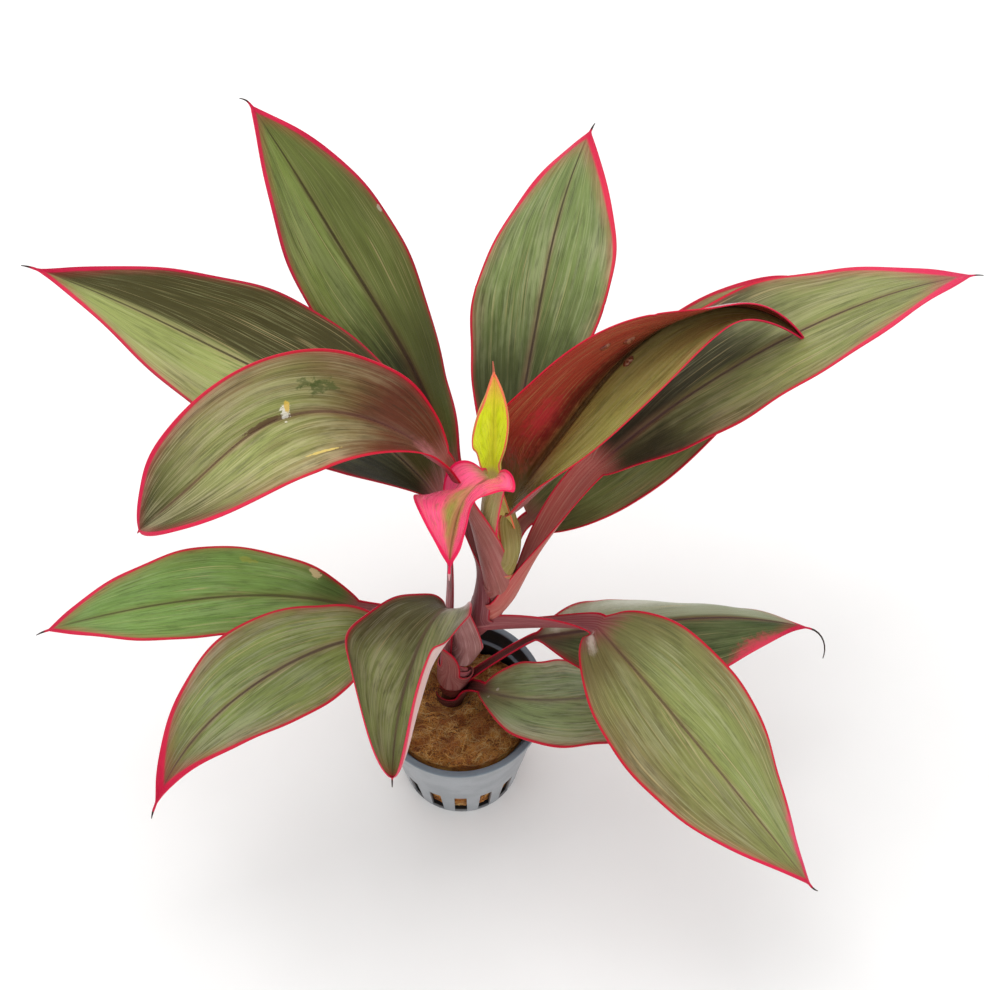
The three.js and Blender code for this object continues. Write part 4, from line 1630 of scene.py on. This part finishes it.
# The dark right half near the base is painted shade; the pale marks are the underside showing.
OVER_POT = BladeFinish(
    green="#939c60", deep="#6a6a3c", pale="#c0bd9c", painted_sheen_amount=0.45, edge="#432c18", edge_start=0.4,
    edge_strength=0.82, base_tint_and_shade="#4a3c2a", base_tint_and_shade_strength=0.6, tip="#a8743e", tip_start=0.9,
    tip_strength=0.8, petiole="#9c6a68", petiole_line="#cfa6a2", sheath="#84504f", right="#443822",
    right_shade_amount=0.7, halves_end=0.42, stain=0.12,
    marks=(
        Mark((0.75, 0.06), (0.5, 0.12), "#e2d6d4", 0.8, 0.6, 0.6),
        Mark((0.2, 0.1), (0.3, 0.12), "#c9bcb0", 0.45, 0.8, 0.9),
    ),
    under="#e9dcd6", under_pink="#dcb8b4", rib="#74504e", rib_width=0.9, rib_strength=0.55, seed=10.0,
)
FRONT_RIGHT = BladeFinish(
    green="#909a56", deep="#6c7640", pale="#bdc094", painted_sheen_amount=0.4, edge="#846244", edge_start=0.35,
    edge_strength=0.7, petiole="#8f444a", petiole_line="#b9807c", sheath="#86464a", tip="#6e4a30",
    tip_start=0.84, left="#7e8650", left_tint_light_and_shade_amount=0.3, base_tint_and_shade="#6a5a3a", margin_tip_width=0.6, rib="#6e5044",
    rib_strength=0.55, right="#6e5a38", right_shade_amount=0.35,
    marks=(
        Mark((-0.5, 0.025), (0.24, 0.05), "#e6ddd0", 0.6, 0.6, 0.9),
        Mark((1.0, 0.9), (0.5, 0.14), "#e0486a", 0.85, 0.5, 0.6),
    ),
    seed=5.5,
)
BEHIND_RIGHT = BladeFinish(
    green="#8c9a5c", deep="#6b7744", pale="#b9bf94", edge="#957050", edge_strength=0.45, base_tint_and_shade="#5c5630",
    base_tint_and_shade_strength=0.5, base_tint_and_shade_reach=0.16, petiole="#a06a58", seed=7.0,
)
# The near-black left half and base are painted shade where the young bronze leaf shades this one.
LONG_RIGHT = BladeFinish(
    green="#868c50", deep="#646638", pale="#b4b084", painted_sheen_amount=0.4, edge="#855a46", edge_strength=0.6,
    left="#20180a", left_tint_light_and_shade_amount=0.85, halves_end=0.5, base_tint_and_shade="#2b1f0d", base_tint_and_shade_strength=0.9,
    base_tint_and_shade_reach=0.36, tip="#7c4a3c", tip_start=0.86, tip_strength=0.7, petiole="#b4544c",
    petiole_line="#d29a8c", sheath="#b46a64", margin_tip="#ea2c60", margin_tip_width=1.9, seed=6.0,
)
ARCHING_LEFT = BladeFinish(
    green="#949a58", deep="#6f6838", pale="#c4bc90", painted_sheen_amount=0.5, edge="#8f6252", edge_start=0.4,
    edge_strength=0.8, base_tint_and_shade="#5c1e12", base_tint_and_shade_reach=0.56, base_tint_and_shade_strength=0.95, tip="#33280f",
    tip_start=0.66, tip_strength=0.92, rib="#5e3230", rib_strength=0.5, petiole="#9c5752",
    petiole_line="#bd8680", sheath="#8a4f44", under="#b46c70", under_pink="#a85a66", margin_tip_width=0.7,
    marks=(
        Mark((0.35, 0.05), (0.75, 0.1), "#b87074", 0.8, 0.5, 0.7),
        Mark((-0.4, 0.41), (0.13, 0.045), "#41501f", 0.7, 2.2, 0.6),
        Mark((-0.47, 0.45), (0.1, 0.03), "#41501f", 0.6, 2.2, 0.6),
        Mark((-0.04, 0.57), (0.05, 0.07), "#55302a", 0.7),
        Mark((-0.05, 0.505), (0.12, 0.014), "#ece6d8", 0.9, 2.0),
        Mark((-0.15, 0.5), (0.12, 0.007), "#d9b54c", 0.9),
        Mark((0.7, 0.44), (0.025, 0.07), "#e0c46c", 0.8, 0.7),
    ),
    seed=3.0,
)
# The near-black base and the darker right half are painted shade.
BACK_LEFT = BladeFinish(
    green="#74833e", deep="#535f2a", pale="#9ba569", painted_sheen_amount=0.35, edge="#5c3c24", edge_strength=0.5,
    right="#575c28", right_shade_amount=0.6, base_tint_and_shade="#130e04", base_tint_and_shade_strength=0.95, base_tint_and_shade_reach=0.6,
    tip="#4c3a20", tip_start=0.9, margin_tip_width=0.8, margin="#a8102a", rib="#30180f", rib_width=0.8,
    petiole="#7c3c42", petiole_line="#a87478",
    marks=(Mark((-0.94, 0.62), (0.03, 0.015), "#cfc9b4", 0.5),), seed=2.0,
)
# The dark base is painted shade.
BACK = BladeFinish(
    green="#75864a", deep="#566434", pale="#aeb486", painted_sheen_amount=0.45, edge="#9a7460", edge_start=0.7,
    edge_strength=0.5, base_tint_and_shade="#363a1c", base_tint_and_shade_strength=0.88, base_tint_and_shade_reach=0.62, tip="#8a5c4a",
    tip_start=0.9, margin_tip_width=1.9, rib="#342022", seed=4.0,
)
YOUNG_BRONZE = BladeFinish(
    green="#a5a458", deep="#7c7438", pale="#c6c484", painted_sheen_amount=0.4, edge="#b0624a", edge_start=0.6,
    edge_strength=0.5, left="#ae2e30", left_tint_light_and_shade_amount=0.92, rib="#4c0c0a", rib_width=1.8, base_tint_and_shade="#5f4a1a",
    base_tint_and_shade_strength=0.8, base_tint_and_shade_reach=0.26, tip="#8a5040", tip_strength=0.5, petiole="#8f8446",
    petiole_line="#b0a066", sheath="#8a6a44", under="#8a5a50", under_pink="#9a4a50", roughness=0.26,
    marks=(
        # The first mark is the leaf's own red mottling; the second is painted shade in the crease along the
        # fold; the third darkens the base; the fourth is painted light on the side that the fold shades.
        Mark((0.32, 0.26), (0.28, 0.08), "#d83048", 0.6, 1.1, 0.8),
        Mark((0.14, 0.42), (0.2, 0.5), "#3c0c0a", 0.7, 0.7, 0.9),
        Mark((0.0, 0.02), (1.7, 0.15), "#5a4a1a", 0.8, 0.6, 0.7),
        Mark((-0.4, 0.62), (0.5, 0.3), "#c6c078", 0.5, 0.5, 0.9),
    ),
    seed=15.0,
)
YOUNG_PINK = BladeFinish(
    green="#8c8c34", deep="#6e6c28", pale="#a4904a", painted_sheen_amount=0.3, edge="#f04c7c", edge_start=0.1,
    edge_end=0.4, edge_strength=1.0, base_tint_and_shade="#ee5a86", base_tint_and_shade_strength=0.75, base_tint_and_shade_reach=0.3, tip="#a0683c",
    tip_start=0.8, rib="#6a4a24", rib_width=0.8, margin="#d6104a", margin_tip="#e01c50", margin_width=0.8,
    margin_tip_width=0.5, petiole="#8c8250", petiole_line="#b09a6c", sheath="#96604c", thread="#d9a2a4",
    # This leaf emits its own colour: painted light that keeps it bright in shade.
    under="#d8607c", under_pink="#e23c68", vein="#5a4a1c", roughness=0.28, painted_glow=0.22, streaks=0.15,
    seed=14.0,
)
SPEAR = BladeFinish(
    green="#c4d028", deep="#a8ba18", pale="#dcda58", painted_sheen_amount=0.3, edge="#c4a43c", edge_strength=0.3,
    base_tint_and_shade="#a4a428", base_tint_and_shade_strength=0.3, tip="#de8a5c", tip_start=0.6, tip_strength=0.8, rib="#9aaa12",
    rib_strength=0.3, margin="#c0503c", margin_tip="#d66a4c", margin_width=0.4, margin_tip_width=0.4,
    petiole="#9a924a", petiole_line="#b09060", sheath="#9a7a4c", under="#b4b444", under_pink="#c8a458",
    # The spear emits its own colour: painted light that keeps it bright in the shade among the leaves.
    vein="#6e7410", thread="#9c5440", streaks=0.15, roughness=0.28, painted_glow=0.55, seed=16.0,
)


LEAVES = (
    Leaf(
        "leaf_low_right", node=2.5, bearing=-30, sheath=5, sheath_radius=3.9, base=(6.7, 1.4, 46.6),
        pull=(12, 10), blade=61, width=33, belly=0.44, taper=1.04, pitch=(22, 7, -13, -15),
        heading=(-29, 6, -6), roll=(-10, -29), bend=(0.33, 0.03), fold=(2, -30), stalk_half=2.6,
        finish=LOW_RIGHT,
    ),
    Leaf(
        "leaf_level_right", node=7, bearing=-10, sheath=6, sheath_radius=3.6, base=(21.9, 11.7, 59.9),
        pull=(8, 8), blade=81, width=36.6, belly=0.46, taper=1.41, pitch=(40, 12.6, -10.9, -22),
        heading=(-12.7, 6.3, -3), roll=(0.6, -24.4), bend=(-0.42, -0.86), fold=(-2.3, -5.7),
        left_bend=(0.31, -0.28, 0.29), left_fold=(5.9, -6.9, 8.9), stalk_half=1.7, thread=12,
        thread_curl=50, thread_turn=-115, finish=LEVEL_RIGHT,
    ),
    Leaf(
        "leaf_drooping_left", node=11.7, bearing=240, sheath=9, sheath_radius=4.4,
        base=(-17.2, 1.5, 83.5), pull=(45, 20), blade=85, width=33, belly=0.41, taper=1.49,
        pitch=(24, -6, -18, -44), heading=(194, 214, 241), roll=(0, 3), bend=(-0.03, 0.61), fold=(-9, 13),
        stalk_half=2.4, finish=DROOPING_LEFT,
    ),
    Leaf(
        "leaf_level_left", node=18.5, bearing=160, sheath=9, sheath_radius=3.9, base=(-28.2, 15.2, 71.8),
        pull=(28, 26), blade=86, width=29, belly=0.47, taper=1.05, pitch=(14, 8, 3, -8),
        heading=(171, 190, 195), roll=(0, 1), bend=(0.38, 0.22), fold=(8, 6), stalk_half=2.4,
        finish=LEVEL_LEFT,
    ),
    Leaf(
        "leaf_upper_left", node=15, bearing=195, sheath=9, sheath_radius=4.0, base=(-4.3, 13.9, 136.4),
        pull=(50, 24), blade=116.7, width=50.4, belly=0.37, taper=1.24, pitch=(42.3, 16.1, 23.6, 10.9),
        heading=(141.3, 160.3, 164.1), roll=(39.3, -7), bend=(-0.02, 0.34), fold=(3, 8.7),
        left_bend=(0.16, -0.11, 0.13), left_fold=(1.9, -4.1, 3.5), stalk_half=3.0, stalk_curl=0.8,
        finish=UPPER_LEFT,
    ),
    Leaf(
        "leaf_over_pot", node=23.5, bearing=255, sheath=9, sheath_radius=4.0, base=(-1.1, 3.2, 93.0),
        pull=(16, 12), blade=59.7, width=41.8, belly=0.58, taper=0.91, pitch=(84, -1.5, 5.1, -51.7),
        heading=(226.4, 254.5, 266.7), roll=(29.4, 0.3), bend=(0.24, 1.55), fold=(6.4, 36.5),
        left_bend=(-0.54, 0.09, -0.14), left_fold=(-16, 3, -3.5), stalk_half=4.2, finish=OVER_POT,
    ),
    Leaf(
        "leaf_front_right", node=38.5, bearing=-70, sheath=5, base=(38.1, 4.5, 80.6), pull=(2, 7),
        blade=91, width=40.5, belly=0.37, taper=1.15, pitch=(6, -13, -24, -33), heading=(-53, -48, -44),
        roll=(4, -3), bend=(0.37, -0.08), fold=(11, -17), thread_turn=60, stalk_half=4.4, stalk_curl=1.0,
        turn_over=-30, finish=FRONT_RIGHT,
    ),
    Leaf(
        "leaf_behind_right", node=41, bearing=45, sheath=10, base=(19.8, 29.6, 97.4), pull=(24, 24),
        blade=105.5, width=39.5, belly=0.42, taper=0.65, pitch=(24, 16, 9, -5), heading=(25, 43, 24),
        roll=(12, 1), bend=(0.57, 0.37), fold=(18, 16), stalk_half=2.6, finish=BEHIND_RIGHT,
    ),
    Leaf(
        "leaf_back_left", node=40, bearing=215, sheath=11, base=(-1.6, 35.0, 115.1), pull=(26, 36),
        blade=109, width=34, belly=0.55, taper=1.09, pitch=(38, 35, 45, 26), heading=(109, 132, 129),
        roll=(7, 7), bend=(0.04, 0.32), fold=(-30, 13), thread_turn=50, stalk_half=3.3, stalk_curl=1.0,
        sway=(1.5, 0, 0), finish=BACK_LEFT,
    ),
    Leaf(
        "leaf_long_right", node=46, bearing=-32, sheath=13, base=(37.4, 34.3, 117.8), pull=(26, 45),
        blade=110, width=41, belly=0.45, taper=1.01, pitch=(31, 25, 19, -1), heading=(32, 20, 10),
        roll=(-4, -26), bend=(0.39, 0.08), fold=(9, -3), stalk_half=5.0, stalk_curl=1.0,
        finish=LONG_RIGHT,
    ),
    Leaf(
        "leaf_arching_left", node=57, bearing=275, sheath=7, base=(-2.6, 14.4, 153.0), pull=(10, 14),
        blade=91.5, width=33.5, belly=0.53, taper=0.65, pitch=(51, 34, 14, -11, -37),
        heading=(158, 186, 224, 205), roll=(35, -32, 8), bend=(0.49, 0.24), fold=(25, 14), stalk_half=4.4,
        stalk_curl=1.0, thread=0.8, finish=ARCHING_LEFT, part=Part.LEAF_BRONZE,
    ),
    Leaf(
        "leaf_back", node=60, bearing=70, sheath=10, base=(13.3, 34.1, 113.3), pull=(20, 18), blade=95,
        width=40, belly=0.48, taper=0.91, pitch=(49, 34, 26, 9), heading=(73, 78, 66), roll=(-45, -7),
        bend=(0.57, -0.56), fold=(13, -8), stalk_half=2.6, finish=BACK,
    ),
    Leaf(
        "leaf_young_bronze", node=70, bearing=-30, sheath=9, base=(15.3, 24.4, 116.8), pull=(26, 16),
        blade=105.8, width=53.8, belly=0.44, taper=0.97, pitch=(75.9, 37.4, 11.5, -2.3, -19),
        heading=(15.5, 47.4, 26.1, -47.3), roll=(-8.1, 7.1, 31.1), bend=(1.26, 0.58, 0.9),
        fold=(22.2, 32.5, 51.3), left_bend=(-0.27, -0.15, -0.74, -0.11), left_fold=(-0.8, 30.2, 71, 5.4),
        stalk_half=4.4, thread=2.4, thread_turn=40,
        drops=(
            Drop((0.6, 0.45)), Drop((0.4, 0.5), (1.3, 1.6, 0.9)), Drop((-0.1, 0.48), (1.2, 1.7, 1.0)),
        ),
        finish=YOUNG_BRONZE, part=Part.LEAF_BRONZE,
    ),
    Leaf(
        "leaf_young_pink", node=66, bearing=200, sheath=8, base=(8.7, 10.9, 152.2), pull=(24, 14),
        blade=29.1, width=27.5, belly=0.3, taper=1.78, pitch=(29.4, 3.3, -12.7, -49.8),
        heading=(221.5, 251.9, 267.8), roll=(30, 11.1), bend=(-0.83, -0.66, 0.29, -0.52),
        fold=(-30.2, 27.2, -3.3), left_bend=(-0.42, -0.36, 0.0, 0.41), left_fold=(48.8, 41.9, 13.3, 12.3),
        stalk_half=3.6, sway=(-1.6, 0, 0), thread=2.2, finish=YOUNG_PINK, part=Part.LEAF_PINK,
    ),
    Leaf(
        "leaf_spear", node=72, bearing=60, sheath=7, base=(9.4, 21.8, 137.3), pull=(18, 14), blade=38.5,
        width=18, belly=0.5, taper=1.11, pitch=(79, 80, 85, 80), heading=(85, 83, 100), roll=(-6, -1),
        bend=(1.75, 1.33), fold=(17, 16), stalk_half=2.6, finish=SPEAR, part=Part.LEAF_SPEAR,
    ),
)


@dataclass
class Softbox:
    """One soft square light that faces the plant, in metres and watts."""

    name: str
    place: tuple[float, float, float]
    size: float
    power: float

    AIM = (0.0, 0.0, 0.06)

    def build(self) -> bpy.types.Object:
        """Hangs the light.

        Returns:
            The light.
        """
        lamp = bpy.data.lights.new(self.name, "AREA")
        lamp.shape = "SQUARE"
        lamp.size = self.size
        lamp.energy = self.power
        box = bpy.data.objects.new(self.name, lamp)
        box.location = self.place
        box.rotation_euler = (Vector(self.AIM) - Vector(self.place)).to_track_quat("-Z", "Y").to_euler()
        bpy.context.scene.collection.objects.link(box)
        return box


@dataclass
class Studio:
    """The pale floor, the soft lights and the camera."""

    floor_reach: float = 2.5
    camera_place: tuple[float, float, float] = (0.01005, -0.26667, 0.64479)
    camera_tilt: float = 29.0
    lens: float = 83.64
    sensor: float = 36.0
    nearest: float = 0.01
    sky: float = 0.85
    softboxes: tuple[Softbox, ...] = (
        Softbox("softbox_above", (-0.15, 0.35, 0.95), 0.7, 4.6),
        Softbox("softbox_front", (0.45, -0.75, 0.6), 0.8, 1.5),
    )
    finish: FloorFinish = FloorFinish()

    def _floor(self) -> None:
        """Lays the floor just under the pot."""
        corners = np.array([(-1, -1, 0), (1, -1, 0), (1, 1, 0), (-1, 1, 0)])
        material = self.finish.material("floor_paper")
        floor = make_piece("studio_floor", corners * self.floor_reach / MM, [(0, 1, 2, 3)], material, None)

    def _world(self) -> None:
        """Surrounds the plant with even pale light."""
        world = bpy.data.worlds.new("studio_world")
        world.use_nodes = True
        back = world.node_tree.nodes["Background"]
        back.inputs["Color"].default_value = (1.0, 1.0, 1.0, 1.0)
        back.inputs["Strength"].default_value = self.sky
        bpy.context.scene.world = world

    def _camera(self) -> None:
        """Sets the camera at the photograph's place and angle."""
        data = bpy.data.cameras.new("studio_camera")
        data.lens = self.lens
        data.sensor_width = self.sensor
        data.clip_start = self.nearest
        camera = bpy.data.objects.new("studio_camera", data)
        camera.location = self.camera_place
        camera.rotation_euler = (math.radians(self.camera_tilt), 0.0, 0.0)
        bpy.context.scene.collection.objects.link(camera)
        bpy.context.scene.camera = camera

    def build(self) -> None:
        """Sets up the whole studio."""
        self._floor()
        self._world()
        for softbox in self.softboxes:
            softbox.build()
        bpy.context.scene.view_settings.view_transform = "Standard"
        self._camera()


def main() -> None:
    """Builds the plant piece by piece."""
    logging.basicConfig(level=logging.INFO, format="%(name)s: %(message)s")
    Studio().build()
    pot = NetPot()
    pot.build()
    Moss(pot).build()
    CANE.build()
    for leaf in LEAVES:
        leaf.build()


if __name__ == "__main__":
    main()
